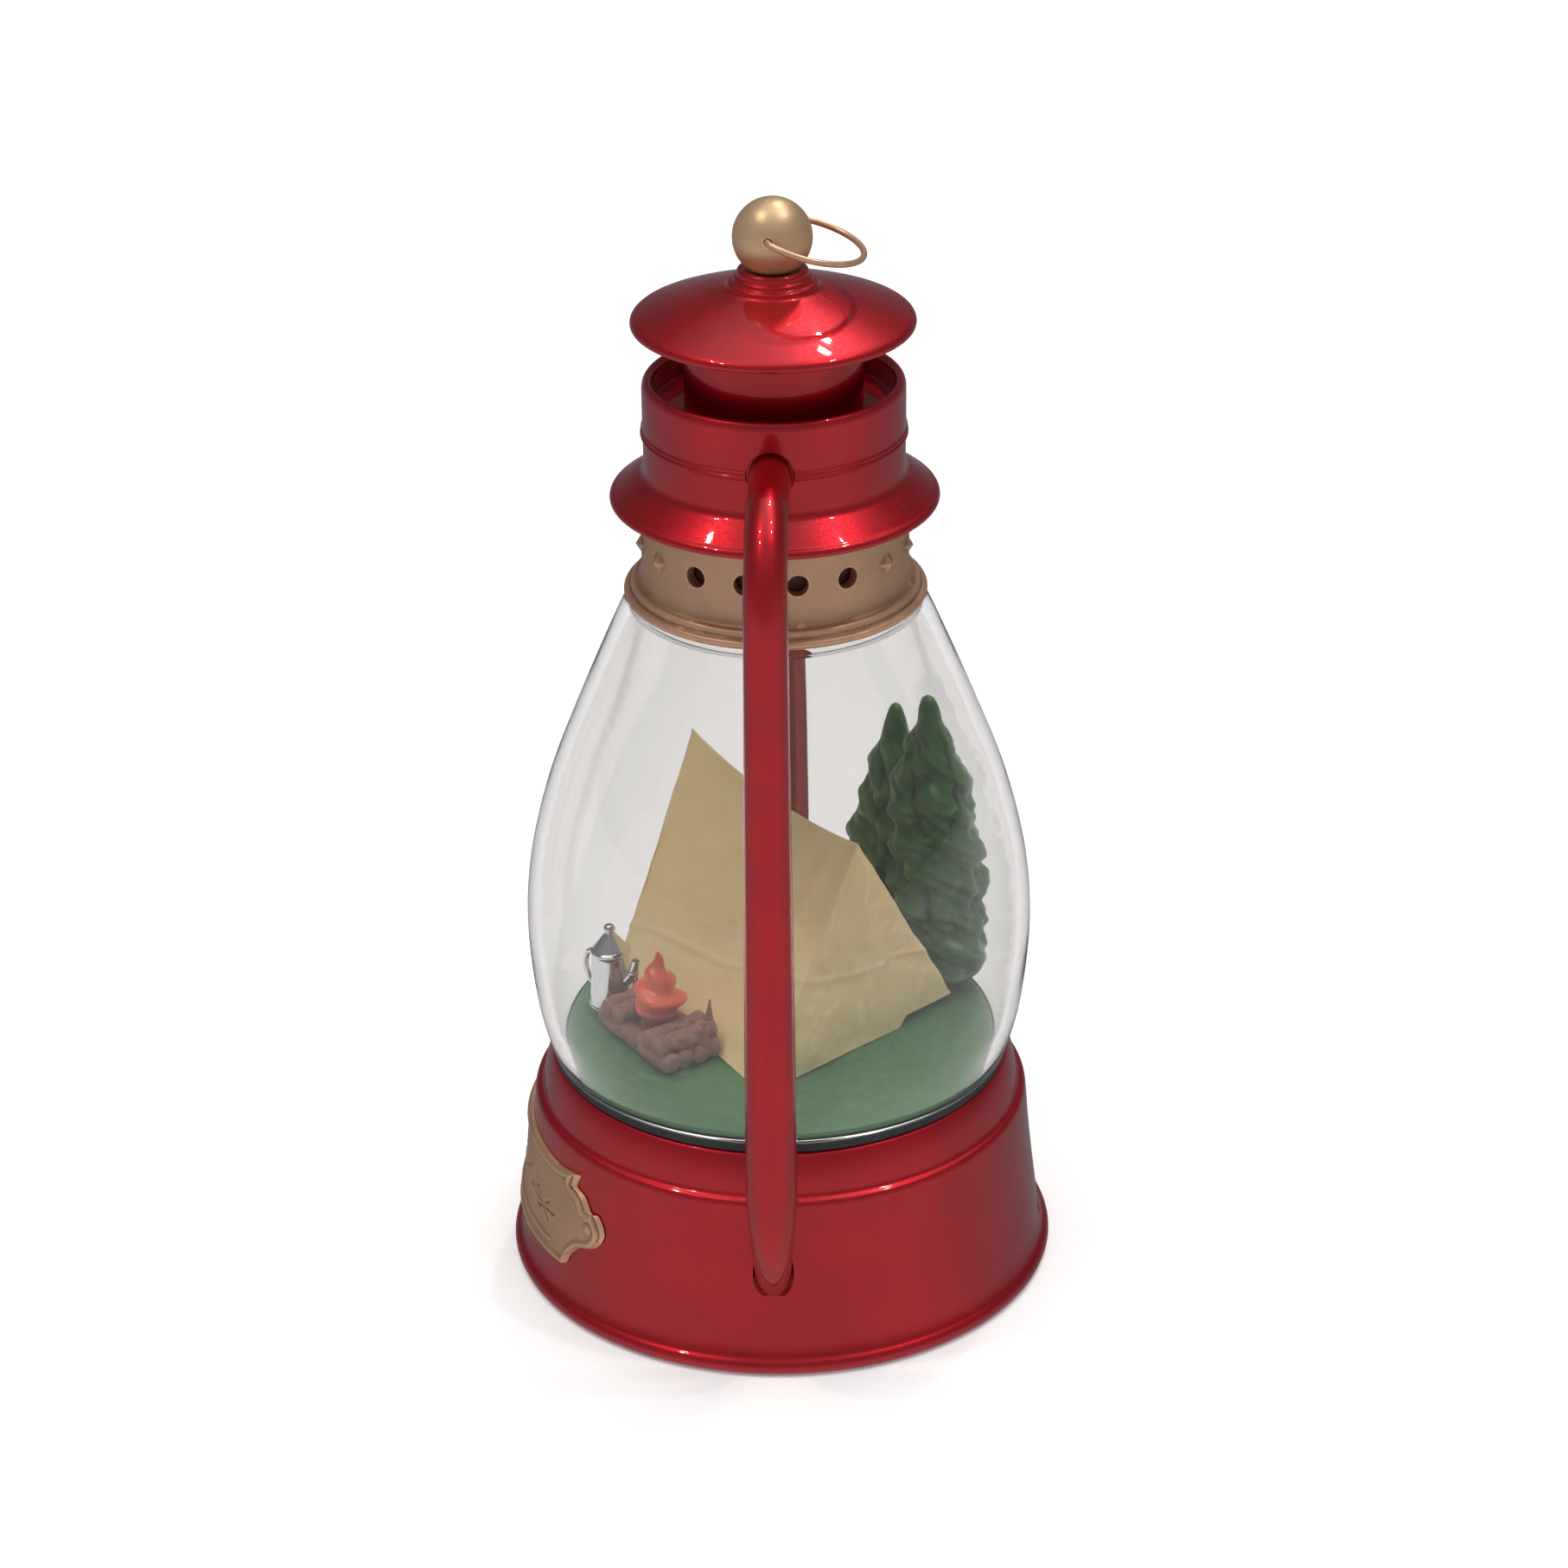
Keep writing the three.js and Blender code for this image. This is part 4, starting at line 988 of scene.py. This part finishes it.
def hood_outline():
    """Flared hood: flat underside, thin rolled rim, concave rise to a straight neck. A sleeve hangs from
    it and closes the collar's vents from inside."""
    return np.vstack(
        (
            [(SLEEVE_INNER, SLEEVE_LOW), (SLEEVE_R, SLEEVE_LOW)],
            [(SLEEVE_R, COLLAR_TOP), (13.75, COLLAR_TOP)],
            bow((13.85, COLLAR_TOP), (HOOD_R, COLLAR_TOP + 0.1), (HOOD_R, COLLAR_TOP + 0.4), 8),
            bow((HOOD_R, COLLAR_TOP + 0.4), (HOOD_R - 0.02, COLLAR_TOP + 0.75), (13.85, 75.1), 8)[1:],
            bow((13.85, 75.1), (12.55, 76.1), (11.75, 76.65), 14)[1:],
            bow((11.75, 76.65), (11.33, 76.95), (11.3, 77.5), 8)[1:],
            [(DRUM_WALL_R, DRUM_LOW), (DRUM_WALL_INNER, DRUM_LOW)],
            [(DRUM_WALL_INNER, 75.2), (SLEEVE_INNER, 74.6)],
        )
    )


def sleeve_painted_shade(hood):
    """Gives the hood's sleeve a dark maroon material, painted shade for the insides of the collar's vents.
    """
    hood.data.materials.append(finish("Dark maroon painted shade", moulded_plastic, "#4a1c1c", 0.5))
    middles = np.empty(3 * len(hood.data.polygons))
    hood.data.polygons.foreach_get("center", middles)
    x, y, z = middles.reshape(-1, 3).T / MM
    inside = (np.hypot(x, y) < SLEEVE_R + 0.05) & (z < DRUM_LOW - 0.1)
    hood.data.polygons.foreach_set("material_index", inside.astype(np.int32))


def drum_outline():
    """Open drum: two beads at its foot, a straight wall, a rounded top edge and a floor inside."""
    low = DRUM_LOW
    return np.vstack(
        (
            [(0, 82.1), (DRUM_WALL_INNER, 82.1), (DRUM_WALL_INNER, low), (DRUM_WALL_R, low)],
            arc((11.36, low + 0.25), 0.17, -90, 60, 8),
            bow((11.42, low + 0.42), (11.36, low + 0.46), (11.38, low + 0.52), 4)[1:],
            arc((11.34, low + 0.66), 0.13, -50, 70, 6),
            bow((11.36, low + 0.82), (11.32, low + 0.95), (11.33, low + 1.4), 4),
            bow((11.33, 84.5), (11.3, 85.05), (10.98, 85.28), 8),
            bow((10.98, 85.28), (10.7, DRUM_TOP + 0.02), (10.5, 85.1), 6)[1:],
            bow((10.5, 85.1), (10.36, 84.9), (10.35, 84.6), 5)[1:],
            bow((10.35, 83.1), (10.35, 82.9), (10.15, 82.9), 4),
            [(0, 82.9)],
        )
    )


def cap_outline():
    """Domed cap with a down-turned rim and a stepped top, open for the ball's stud."""
    return np.vstack(
        (
            [(1.3, 94.4), (1.3, 92.9)],
            bow((4, 92.5), (8, 91.3), (11.2, 90.3), 10),
            bow((11.6, 90.05), (CAP_R - 0.02, 89.98), (CAP_R, 90.35), 10),
            bow((CAP_R, 90.35), (CAP_R, 90.72), (11.75, 90.92), 8)[1:],
            bow((11.75, 90.92), (8.6, 92.2), (4.6, 93.3), 24)[1:],
            bow((4.35, 93.38), (3.98, 93.48), (3.92, 93.7), 5),
            bow((3.9, 93.78), (3.84, 94), (3.6, 94.02), 5),
            bow((3.5, 94.05), (3.42, 94.1), (3.38, 94.28), 4),
            bow((3.36, 94.32), (3.3, 94.45), (3.15, 94.47), 4),
            bow((3.08, 94.55), (3.1, 95.05), (2.8, 95.13), 6),
            bow((2.7, CAP_TOP), (2.5, CAP_TOP + 0.02), (2.3, 95.05), 5),
        )
    )


class LANTERN_OT_top(bpy.types.Operator):
    """Makes the hood, the open drum, the chimney and the cap"""

    bl_idname = "lantern.top"
    bl_label = "Hood, drum, chimney and cap"

    def execute(self, context):
        lacquer = finish(LACQUER, candy_red_lacquer, context.scene.lantern_colours)
        for name, node, outline in (
            ("flared_hood", "hood", hood_outline()),
            ("open_drum", "vent_drum", drum_outline()),
        ):
            piece = lathed(name, outline)
            worked(piece, "DIFFERENCE", *pipe_sockets())
            settled(piece, [node], lacquer, 40)
            # The hood's sleeve, seen through the vents, gets painted shade.
            if node == "hood":
                sleeve_painted_shade(piece)
        pipe = rounded(
            [
                (CHIMNEY_R - 0.8, CHIMNEY_LOW, 0), (CHIMNEY_R, CHIMNEY_LOW, 0),
                (CHIMNEY_R, CHIMNEY_TOP, 0.2), (CHIMNEY_R - 0.8, CHIMNEY_TOP, 0.2),
            ]
        )
        settled(lathed("inner_chimney", pipe), ["chimney"], lacquer)
        cap = lathed("domed_cap", cap_outline())
        settled(cap, ["cap"], lacquer, 45)
        return {"FINISHED"}


# ------------------------------------------------------------------ ball and ring
BALL_R = 3.42
STUD_R = 1.15
PIN_IN = 2.25  # how far from the middle the wire ends stop
PIN_HOLE_R = 0.37


class LANTERN_OT_ball_and_ring(bpy.types.Operator):
    """Makes the bronze ball and the wire ring that swings in it"""

    bl_idname = "lantern.ball_and_ring"
    bl_label = "Ball and ring"

    def execute(self, context):
        sizes = context.scene.lantern_sizes
        colours = context.scene.lantern_colours
        centre = BALL_TOP - BALL_R
        start = math.degrees(math.asin(STUD_R / BALL_R)) - 90
        ball_curve = arc((0, centre), BALL_R, start, 90, 60)
        outline = np.vstack(([(0, 92.1), (STUD_R, 92.1)], ball_curve))
        outline[-1, 0] = 0
        ball = shaped("bronze_ball", grid(placed(turned(outline, 96), FINIAL_TURN)))
        pins = []
        for side in (-1, 1):
            path = [(side * x, 0, HINGE_Z) for x in (PIN_IN - 0.2, 2.8, 5)]
            rod = placed(swept(path, PIN_HOLE_R, UP), FINIAL_TURN)
            pins.append(shaped(f"pin_{side}", grid(rod)))
        worked(ball, "DIFFERENCE", *pins)
        # The darker colour is painted shade in the ball's hollows, and its edges get a painted highlight.
        gold = finish("Satin gold-bronze paint", bronze_paint, colours.ball, linear("#6f5a3a"), 0.3)
        settled(ball, ["finial_ball"], gold, 40)

        radius = sizes.ring_radius / MM
        reach = 3.17
        opening = math.asin(reach / radius) - math.radians(5)
        angle = np.linspace(-opening, math.pi + opening, 22)
        loop = [(radius * math.cos(a), reach + radius * math.sin(a), 0) for a in angle]
        pin = [(x, 0, 0) for x in (PIN_IN, 2.7, 3.2, 3.5)]
        path = spline([*pin, *loop, *[(-x, 0, 0) for x, _, _ in reversed(pin)]], 260)
        rod = swept(path, sizes.wire / MM / 2, UP, 24)
        at = (0, 0, HINGE_Z)
        ring = shaped("wire_ring", grid(placed(rod, FINIAL_TURN, at, -sizes.ring_tilt)))
        # The darker colour is painted shade in the wire's hollows, and its edges get a painted highlight.
        wire = finish("Bronzed wire", bronze_paint, colours.bronze, linear("#5d4630"), 0.22)
        settled(ring, ["hanging_ring"], wire, 50, "ring")
        return {"FINISHED"}


# ------------------------------------------------------------------ name plate
PLATE_SKIRT_R = 23.6  # mean radius, which turns distance round the skirt into an angle
PLATE_LOW, PLATE_HIGH = 4.2, 14.8
PLATE_GAP = 0.04
SKIRT_R = 23.85  # the skirt's radius at the plate's foot
SKIRT_SLOPE = 0.112  # how much of it is lost per millimetre up
SPRIG_END = 12
PLATE_HALF = [  # distance round the skirt, height, fillet
    (15.7, 14.4, 0.25), (15.3, 13.1, 0.3), (16.8, 12.6, 0.5), (17.8, 11.3, 0.35), (18.6, 11.6, 0.35),
    (19.4, 10.8, 0.4), (19.8, 9.9, 0.4), (19.5, 8.9, 0.4), (18.8, 8.1, 0.4), (17, 7.5, 0.5),
    (15.8, 6.2, 0.5), (15.2, 4.8, 0.3), (13.5, 4.7, 0.3),
]


def plate_outline():
    """Right half from top to bottom, then its mirror image from bottom to top, sagging at the top."""
    right = [(12.6, 13.9, 0.6), *PLATE_HALF]
    left = [(-u, z, fillet) for u, z, fillet in reversed(right)]
    return rounded([(0, 13.9, 0.5), *right, (0, 4.5, 0.5), *left])


def edge_distance(across, up, outline):
    """Distance of each point to the closed outline: |p - a - s(b - a)| with s held between 0 and 1."""
    nearest = np.full(across.shape, np.inf)
    for (ax, ay), (bx, by) in zip(outline, np.roll(outline, -1, axis=0)):
        ex, ey = bx - ax, by - ay
        s = np.clip(((across - ax) * ex + (up - ay) * ey) / (ex * ex + ey * ey + 1e-12), 0, 1)
        nearest = np.minimum(nearest, np.hypot(across - ax - s * ex, up - ay - s * ey))
    return nearest


class LANTERN_OT_name_plate(bpy.types.Operator):
    """Makes the scrolled bronze plate, with a plain sprig instead of lettering"""

    bl_idname = "lantern.name_plate"
    bl_label = "Name plate"

    def execute(self, context):
        colours = context.scene.lantern_colours
        relief = context.scene.lantern_sizes.plate_relief / MM
        outline = plate_outline()
        across, up = np.meshgrid(np.linspace(-20.2, 20.2, 420), np.linspace(PLATE_LOW, PLATE_HIGH, 120))
        inside = edge_distance(across, up, outline)
        roll = np.sqrt(1 - (1 - np.clip(inside / 0.4, 0, 1)) ** 2)
        rim = np.exp(-(((inside - 0.45) / 0.28) ** 2))
        height = relief * (0.3 + 0.32 * roll + 0.38 * rim)
        # An engraved sprig: a waved stem with paired leaves.
        stem = 9.3 + 0.7 * np.sin(0.42 * across)
        groove = np.exp(-(((up - stem) / 0.2) ** 2)) * (np.abs(across) < 13)
        leaf_rise = 0.55 * (1.6 - np.abs((across % 2.6) - 1.3))
        leaves = np.exp(-(((np.abs(up - stem) - leaf_rise) / 0.22) ** 2))
        leaves = leaves * (np.abs(across) < SPRIG_END) * (np.abs(up - stem) < 1.6)
        bar = np.exp(-(((up - 6.2) / 0.16) ** 2)) * (np.abs(across) < 12.5)
        bead = np.maximum(0, 1 - (np.hypot(np.abs(across) - 18.2, up - 9.9) / 0.6) ** 2)
        height = height - relief * 0.3 * np.maximum(groove, leaves) + relief * (0.35 * bar + 0.35 * bead)
        skirt = SKIRT_R - (up - PLATE_LOW) * SKIRT_SLOPE + PLATE_GAP
        angle = across / PLATE_SKIRT_R - math.pi / 2
        front, back = (
            np.stack((r * np.cos(angle), r * np.sin(angle), up), -1) for r in (skirt + height, skirt)
        )
        tube = np.concatenate((front, back[:, ::-1]), axis=1)
        spine = (front + back) / 2
        ends = [np.concatenate((spine[k], spine[k][::-1]))[None] for k in (0, -1)]
        slab = shaped("scrolled_name_plate", grid(np.concatenate((ends[0], tube, ends[1]))))
        flat = outline.copy()
        flat[:, 0] = PLATE_SKIRT_R * np.sin(outline[:, 0] / PLATE_SKIRT_R)
        worked(slab, "INTERSECT", prism("plate_cutter", flat, -30, -8))
        bronze = finish("Satin bronze paint with painted highlight and shade", bronze_paint, colours.bronze, colours.bronze_shade, 0.34)
        settled(slab, ["name_plate"], bronze, 40)
        return {"FINISHED"}


# ------------------------------------------------------------------ battery light and bottom
DOOR_END, TONGUE_END = 9.8, 13.9
TONGUE_HALF = 2.9  # half the tongue's width
DOOR_PLAY = 0.2
GRIP_ENDS, GRIP_PITCH = (-7.5, -3), 1.1
CELL_R = 5.8
SPRING_END, SPRING_DEPTH = 8.78, 0.28
SPRING_WIDE, SPRING_NARROWING, SPRING_TURNS = 3.2, 1.4, 2.25
LED_R = 1.4


def crossed_screw(name, node, head_r, head_low, seat, shank_r, tip):
    """Pan-head screw with a cross recess, at its CAD node's place."""
    outline = rounded(
        [
            (0, head_low, 0), (head_r * 0.75, head_low, 0.3), (head_r, head_low + 0.35, 0.2),
            (head_r, seat, 0.05), (shank_r, seat, 0.05), (shank_r, tip - 0.6, 0.1), (0, tip, 0),
        ]
    )
    at = middle(node) * (1, 1, 0)
    surface = turned(outline, SMALL_SIDES)
    reach = np.hypot(surface[..., 0], surface[..., 1])
    angle = np.arctan2(surface[..., 1], surface[..., 0])
    level = surface[..., 2]
    on_shank = (level > seat + 0.4) & (level < tip - 0.5)
    thread = np.where(on_shank, 0.05 * np.sin(2 * np.pi * level / 0.5 + angle), 0)
    surface[..., :2] *= np.where(reach > 0, 1 + thread / np.maximum(reach, 0.1), 1)[..., None]
    screw = shaped(name, grid(placed(surface, 0, at)))
    slot = head_r * 0.6
    bars = []
    for i, (x, y) in enumerate(((slot, 0.16), (0.16, slot))):
        low = np.array((-x, -y, head_low - 0.5)) + at
        high = np.array((x, y, head_low + 0.45)) + at
        bars.append(block(f"cross_{i}", low, high, 0))
    return worked(screw, "DIFFERENCE", *bars)


class LANTERN_OT_bottom(bpy.types.Operator):
    """Makes the bottom cover, the battery door and their screws"""

    bl_idname = "lantern.bottom"
    bl_label = "Bottom cover and screws"

    def execute(self, context):
        plastic = finish(*BLACK_ABS)
        zinc = finish(*ZINC)
        radius, low, _ = span("bottom_cover")
        top = COVER_TOP
        disc = rounded([(0, low, 0), (radius, low, 0.3), (radius, top, 0.1), (0, top, 0)])
        cover = shaped("round_bottom_cover", grid(turned(disc)))
        door_low, door_high = corners("battery_door")
        screw_at = middle("door_screw")
        post = upright("door_post", 1.7, top - 0.5, 7, screw_at[:2])
        worked(cover, "UNION", post)
        hole_low = (door_low[0] - DOOR_PLAY, door_low[1] - DOOR_PLAY, 0)
        hole_high = (DOOR_END + DOOR_PLAY, door_high[1] + DOOR_PLAY, 4)
        pocket_half = TONGUE_HALF + DOOR_PLAY
        pocket_low = (DOOR_END, screw_at[1] - pocket_half, 0)
        pocket_high = (TONGUE_END + DOOR_PLAY, screw_at[1] + pocket_half, 1.8)
        cuts = [
            block("door_hole", hole_low, hole_high, 0),
            block("tab_pocket", pocket_low, pocket_high, 0),
            block("switch_slot", (-2.2, 8.2, 0), (2.2, 9.8, 4), 0),
            upright("door_screw_bore", 0.68, 0, 6, screw_at[:2]),
            *screw_rods("screw_bore", 0.9, 0, 4),
        ]
        worked(cover, "DIFFERENCE", *cuts)
        settled(cover, ["bottom_cover"], plastic, 35)

        door_foot = (door_low[0], door_low[1], low)
        door = block("screwed_battery_door", door_foot, (DOOR_END, door_high[1], top), 0.2)
        tongue_low = (DOOR_END - 0.5, screw_at[1] - TONGUE_HALF, low)
        tongue = block("door_tongue", tongue_low, (TONGUE_END, screw_at[1] + TONGUE_HALF, 1.75), 0.2)
        worked(door, "UNION", tongue)
        grips = [
            block(f"grip_{i}", (GRIP_ENDS[0], y, 0.8), (GRIP_ENDS[1], y + 0.5, low + 0.25), 0)
            for i, y in enumerate(-9 + GRIP_PITCH * np.arange(9))
        ]
        worked(door, "DIFFERENCE", upright("door_bore", 0.75, 0, 4, screw_at[:2]), *grips)
        settled(door, ["battery_door"], plastic, 35)

        for i in (1, 2, 3):
            screw = crossed_screw(f"pan_screw_{i}", f"cover_screw_{i}", 1.6, 0.4, low, 0.68, 8.4)
            settled(screw, [f"cover_screw_{i}"], zinc, 35)
        small = crossed_screw("small_pan_screw", "door_screw", 1.3, 0.45, low, 0.58, 5.6)
        settled(small, ["door_screw"], zinc, 35)
        return {"FINISHED"}


class LANTERN_OT_battery_light(bpy.types.Operator):
    """Makes the cells, contacts, board, lamp and switch inside the base"""

    bl_idname = "lantern.battery_light"
    bl_label = "Battery light"

    def execute(self, context):
        zinc = finish(*ZINC)
        plastic = finish(*BLACK_ABS)
        for i in (1, 2, 3):
            low, high = corners(f"battery_cell_{i}")
            thick = high[0] - low[0]
            can = rounded(
                [
                    (0, 0, 0), (4.6, 0, 0.2), (4.9, 0.25, 0.1), (5.1, 0.3, 0.1), (CELL_R, 0.55, 0.35),
                    (CELL_R, thick, 0.3), (5.2, thick, 0.1), (5.1, thick - 0.12, 0.1), (0, thick - 0.12, 0),
                ]
            )
            surface = turned(can, SMALL_SIDES)[..., [2, 0, 1]]
            _, y, z = middle(f"battery_cell_{i}")
            cell = shaped(f"button_cell_{i}", grid(surface + (low[0], y, z)))
            settled(cell, [f"battery_cell_{i}"], zinc, 35)

        _, y, z = middle("battery_cell_1")
        turn = np.linspace(0, 1, 220)
        coil = SPRING_WIDE - SPRING_NARROWING * turn
        angle = SPRING_TURNS * 2 * np.pi * turn
        along = SPRING_END - SPRING_DEPTH * turn
        path = np.column_stack((along, y + coil * np.cos(angle), z + coil * np.sin(angle)))
        spring = shaped("cone_spring", grid(swept(path, 0.16, ALONG, 14)))
        settled(spring, ["contact_spring"], zinc, 50)

        low, high = corners("circuit_board")
        board = block("light_board", low, high, 0.08)
        parts = [
            block("resistor", (6.2, -12.6, high[2] - 0.2), (8.6, -11.4, high[2] + 0.55), 0.12),
            block("pad_a", (6.2, -9.4, high[2] - 0.2), (7.2, -8.2, high[2] + 0.12), 0.05),
            block("pad_b", (0.2, -8.2, high[2] - 0.2), (1.2, -7.0, high[2] + 0.12), 0.05),
        ]
        worked(board, "UNION", *parts)
        mask = finish("Green solder mask", moulded_plastic, "#1f5a38", 0.35)
        settled(board, ["circuit_board"], mask, 35)

        dome = np.vstack(
            (
                [(0, 16.25), (1.6, 16.25), (1.6, 17.1), (LED_R, 17.1), (LED_R, 19.5)],
                arc((0, 19.6), LED_R, 0, 90, 14),
            )
        )
        dome[-1, 0] = 0
        bulb = shaped("warm_lamp", grid(placed(turned(dome, SMALL_SIDES), 0, (LED_X, LED_Y, 0))))
        amber = opaque(linear("#f5e8bc"))
        epoxy = begun("Clear epoxy lens", Base_Color=amber, Roughness=0.12, Transmission_Weight=0.6)[0]
        settled(bulb, ["led"], epoxy, 35)

        low, high = corners("switch_slider")
        carriage = block("ribbed_slider", (low[0], low[1], 2.5), (high[0], high[1], high[2]), 0.12)
        stem = block("slider_stem", (-2, 8.4, low[2]), (0, 9.6, 3), 0.12)
        worked(carriage, "UNION", stem)
        ribs = [
            block(f"rib_{i}", (x, 8, low[2] - 0.2), (x + 0.25, 10, low[2] + 0.18), 0)
            for i, x in enumerate(-1.75 + 0.55 * np.arange(3))
        ]
        worked(carriage, "DIFFERENCE", *ribs)
        settled(carriage, ["switch_slider"], plastic, 35, "slider")

        # These three are shown as packed.
        kept_nodes = {"battery_tray": plastic, "switch_body": plastic, "contact_plate": zinc}
        for node, surface in kept_nodes.items():
            kept = frame["nodes"][node]
            kept.data.materials.clear()
            kept.data.materials.append(surface)
        return {"FINISHED"}


# ------------------------------------------------------------------ stage
FLOOR_REACH = 2500.0
PANEL_FAR = 1.1  # distance of the small panels, in metres
PANEL_SIZE = (0.042, 0.03)
AIM = Vector((0, 0, 0.05))
GLOW_WAY = (-0.35, 0.05, 0.935)
CAMERA_DISTANCE = 0.343675
CAMERA_HEIGHT = 0.2165
CAMERA_SIDE = math.radians(2)  # how far round from +X the camera stands
CAMERA_PITCH = math.radians(26.32)
CAMERA_YAW = math.radians(0.094)
CAMERA_ROLL = math.radians(-0.522)
CAMERA_LENS = 98.61


def lamp(name, at, size, power, warmth):
    """A rectangular area lamp at a place, facing the lantern."""
    light = bpy.data.lights.new(name, "AREA")
    light.shape = "RECTANGLE"
    light.size, light.size_y = size
    light.energy = power
    light.color = warmth
    made = bpy.data.objects.new(name, light)
    made.location = at
    made.rotation_mode = "QUATERNION"
    made.rotation_quaternion = (AIM - Vector(at)).to_track_quat("-Z", "Y")
    bpy.context.scene.collection.objects.link(made)
    return made


def studio_room(scene):
    """A grey room, bright on the camera's side and dim behind the lantern, with a glow on its ceiling."""
    world = bpy.data.worlds.new("Studio")
    world.use_nodes = True
    scene.world = world
    tree = world.node_tree
    ray = add(tree, "ShaderNodeTexCoord", {}, "Generated")
    height = add(tree, "ShaderNodeSeparateXYZ", {0: ray}, "Z")
    depth = height.node.outputs["X"]
    level = add(tree, RANGE, {"Value": height, "From Min": -1.0})
    greys = ((0.4, 0.56), (0.5, 0.38), (0.7, 0.25), (0.85, 0.3))
    walls = [(position, (grey, 0.97 * grey, 1.04 * grey)) for position, grey in greys]
    stops = [(0.0, (0.6, 0.6, 0.6)), *walls, (1.0, (0.4, 0.4, 0.4))]
    shade = add(tree, RAMP, {"Fac": level}, stops=stops)
    side_range = {"From Min": -0.7, "From Max": 0.5, "To Min": 0.32, "To Max": 1.0}
    side = add(tree, RANGE, {"Value": depth, **side_range})
    # The glow is a little behind the lantern.
    toward = add(tree, "ShaderNodeVectorMath", {0: ray, 1: GLOW_WAY}, "Value", operation="DOT_PRODUCT")
    glow_range = {"From Min": 0.78, "From Max": 1.0, "To Max": 1.5}
    glow = add(tree, RANGE, {"Value": toward, **glow_range}, interpolation_type="SMOOTHSTEP")
    strength = add(tree, MATH, {0: side, 1: glow}, operation="ADD")
    fed(tree.nodes["Background"], {"Color": shade, "Strength": strength})


def studio_camera(scene):
    """Camera in front of the right-hand pipe, looking down. Its axes are right, up and back."""
    camera_data = bpy.data.cameras.new("camera")
    camera_data.lens = CAMERA_LENS
    camera_data.sensor_width = 36
    camera_data.clip_start = 0.01
    camera = bpy.data.objects.new("camera", camera_data)
    flat = math.cos(CAMERA_PITCH)
    forward = Vector(
        (-flat * math.cos(CAMERA_YAW), flat * math.sin(CAMERA_YAW), -math.sin(CAMERA_PITCH))
    )
    level = forward.cross(Vector((0, 0, 1))).normalized()
    upright_axis = level.cross(forward)
    right = level * math.cos(CAMERA_ROLL) + upright_axis * math.sin(CAMERA_ROLL)
    pose = Matrix((right, right.cross(forward), -forward)).transposed().to_4x4()
    pose.translation = (CAMERA_DISTANCE, 0, CAMERA_HEIGHT)
    camera.matrix_world = Matrix.Rotation(CAMERA_SIDE, 4, "Z") @ pose
    scene.collection.objects.link(camera)
    scene.camera = camera


class LANTERN_OT_stage(bpy.types.Operator):
    """Makes the floor, the studio light and the camera"""

    bl_idname = "lantern.stage"
    bl_label = "Stage"

    def execute(self, context):
        scene = context.scene
        scene.view_settings.view_transform = "Standard"
        disc = np.array([(0, -1.0), (FLOOR_REACH, -1.0), (FLOOR_REACH, 0), (0, 0)])
        floor = shaped("studio_floor", grid(turned(disc, 96)))
        floor.data.transform(Matrix.Scale(MM, 4))
        paper = begun(
            "Matt white paper on a light table",
            Base_Color=opaque(scene.lantern_colours.floor),
            Roughness=0.9,
            Specular_IOR_Level=0.1,
            Emission_Color=(1, 1, 1, 1),
            Emission_Strength=0.16,
        )[0]
        floor.data.materials.append(paper)
        # Glossy surfaces see the room instead of the floor, as they would over a small table.
        floor.visible_glossy = False

        studio_room(scene)
        fill = lamp("ceiling_fill", (0.0, 0.0, 1.3), (1.5, 1.5), 13.0, (1, 1, 1))
        fill.visible_glossy = False
        for name, way, power, warmth in (
            ("panel_cap", (-0.56, 0.17, 0.81), 0.9, (1, 1, 0.97)),
            ("panel_cap_low", (-0.5, 0.17, 0.85), 0.5, (1, 0.95, 0.88)),
            ("panel_right", (0.0, 0.42, 0.91), 1.0, (1, 0.99, 0.96)),
            ("panel_right_far", (-0.16, 0.36, 0.92), 0.6, (1, 0.93, 0.84)),
            ("panel_left", (0.0, -0.42, 0.91), 1.0, (1, 0.94, 0.84)),
            ("panel_left_near", (0.2, -0.42, 0.89), 0.55, (1, 0.98, 0.94)),
        ):
            lamp(name, Vector(way) * PANEL_FAR + AIM, PANEL_SIZE, power, warmth)
        studio_camera(scene)
        return {"FINISHED"}


# ------------------------------------------------------------------ panel and registration
BUILDERS = (
    LANTERN_OT_stage,
    LANTERN_OT_base,
    LANTERN_OT_side_pipes,
    LANTERN_OT_globe,
    LANTERN_OT_ground,
    LANTERN_OT_tent,
    LANTERN_OT_pines,
    LANTERN_OT_campfire,
    LANTERN_OT_coffee_pot,
    LANTERN_OT_collar,
    LANTERN_OT_top,
    LANTERN_OT_ball_and_ring,
    LANTERN_OT_name_plate,
    LANTERN_OT_bottom,
    LANTERN_OT_battery_light,
)


class LANTERN_PT_builders(bpy.types.Panel):
    """Lists the lantern's pieces, sizes and colours"""

    bl_label = "Camping Lantern"
    bl_space_type = "VIEW_3D"
    bl_region_type = "UI"
    bl_category = "Lantern"

    def draw(self, context):
        for group in (context.scene.lantern_sizes, context.scene.lantern_colours):
            column = self.layout.column()
            for name in group.__annotations__:
                column.prop(group, name)
        for builder in BUILDERS:
            self.layout.operator(builder.bl_idname)


CLASSES = (LanternSizes, LanternColours, *BUILDERS, LANTERN_PT_builders)


def register():
    for made in CLASSES:
        bpy.utils.register_class(made)
    bpy.types.Scene.lantern_sizes = bpy.props.PointerProperty(type=LanternSizes)
    bpy.types.Scene.lantern_colours = bpy.props.PointerProperty(type=LanternColours)


def unregister():
    del bpy.types.Scene.lantern_colours
    del bpy.types.Scene.lantern_sizes
    for made in reversed(CLASSES):
        bpy.utils.unregister_class(made)


def main():
    register()
    for builder in BUILDERS:
        group, name = builder.bl_idname.split(".")
        getattr(getattr(bpy.ops, group), name)()
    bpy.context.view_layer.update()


if __name__ == "__main__":
    main()
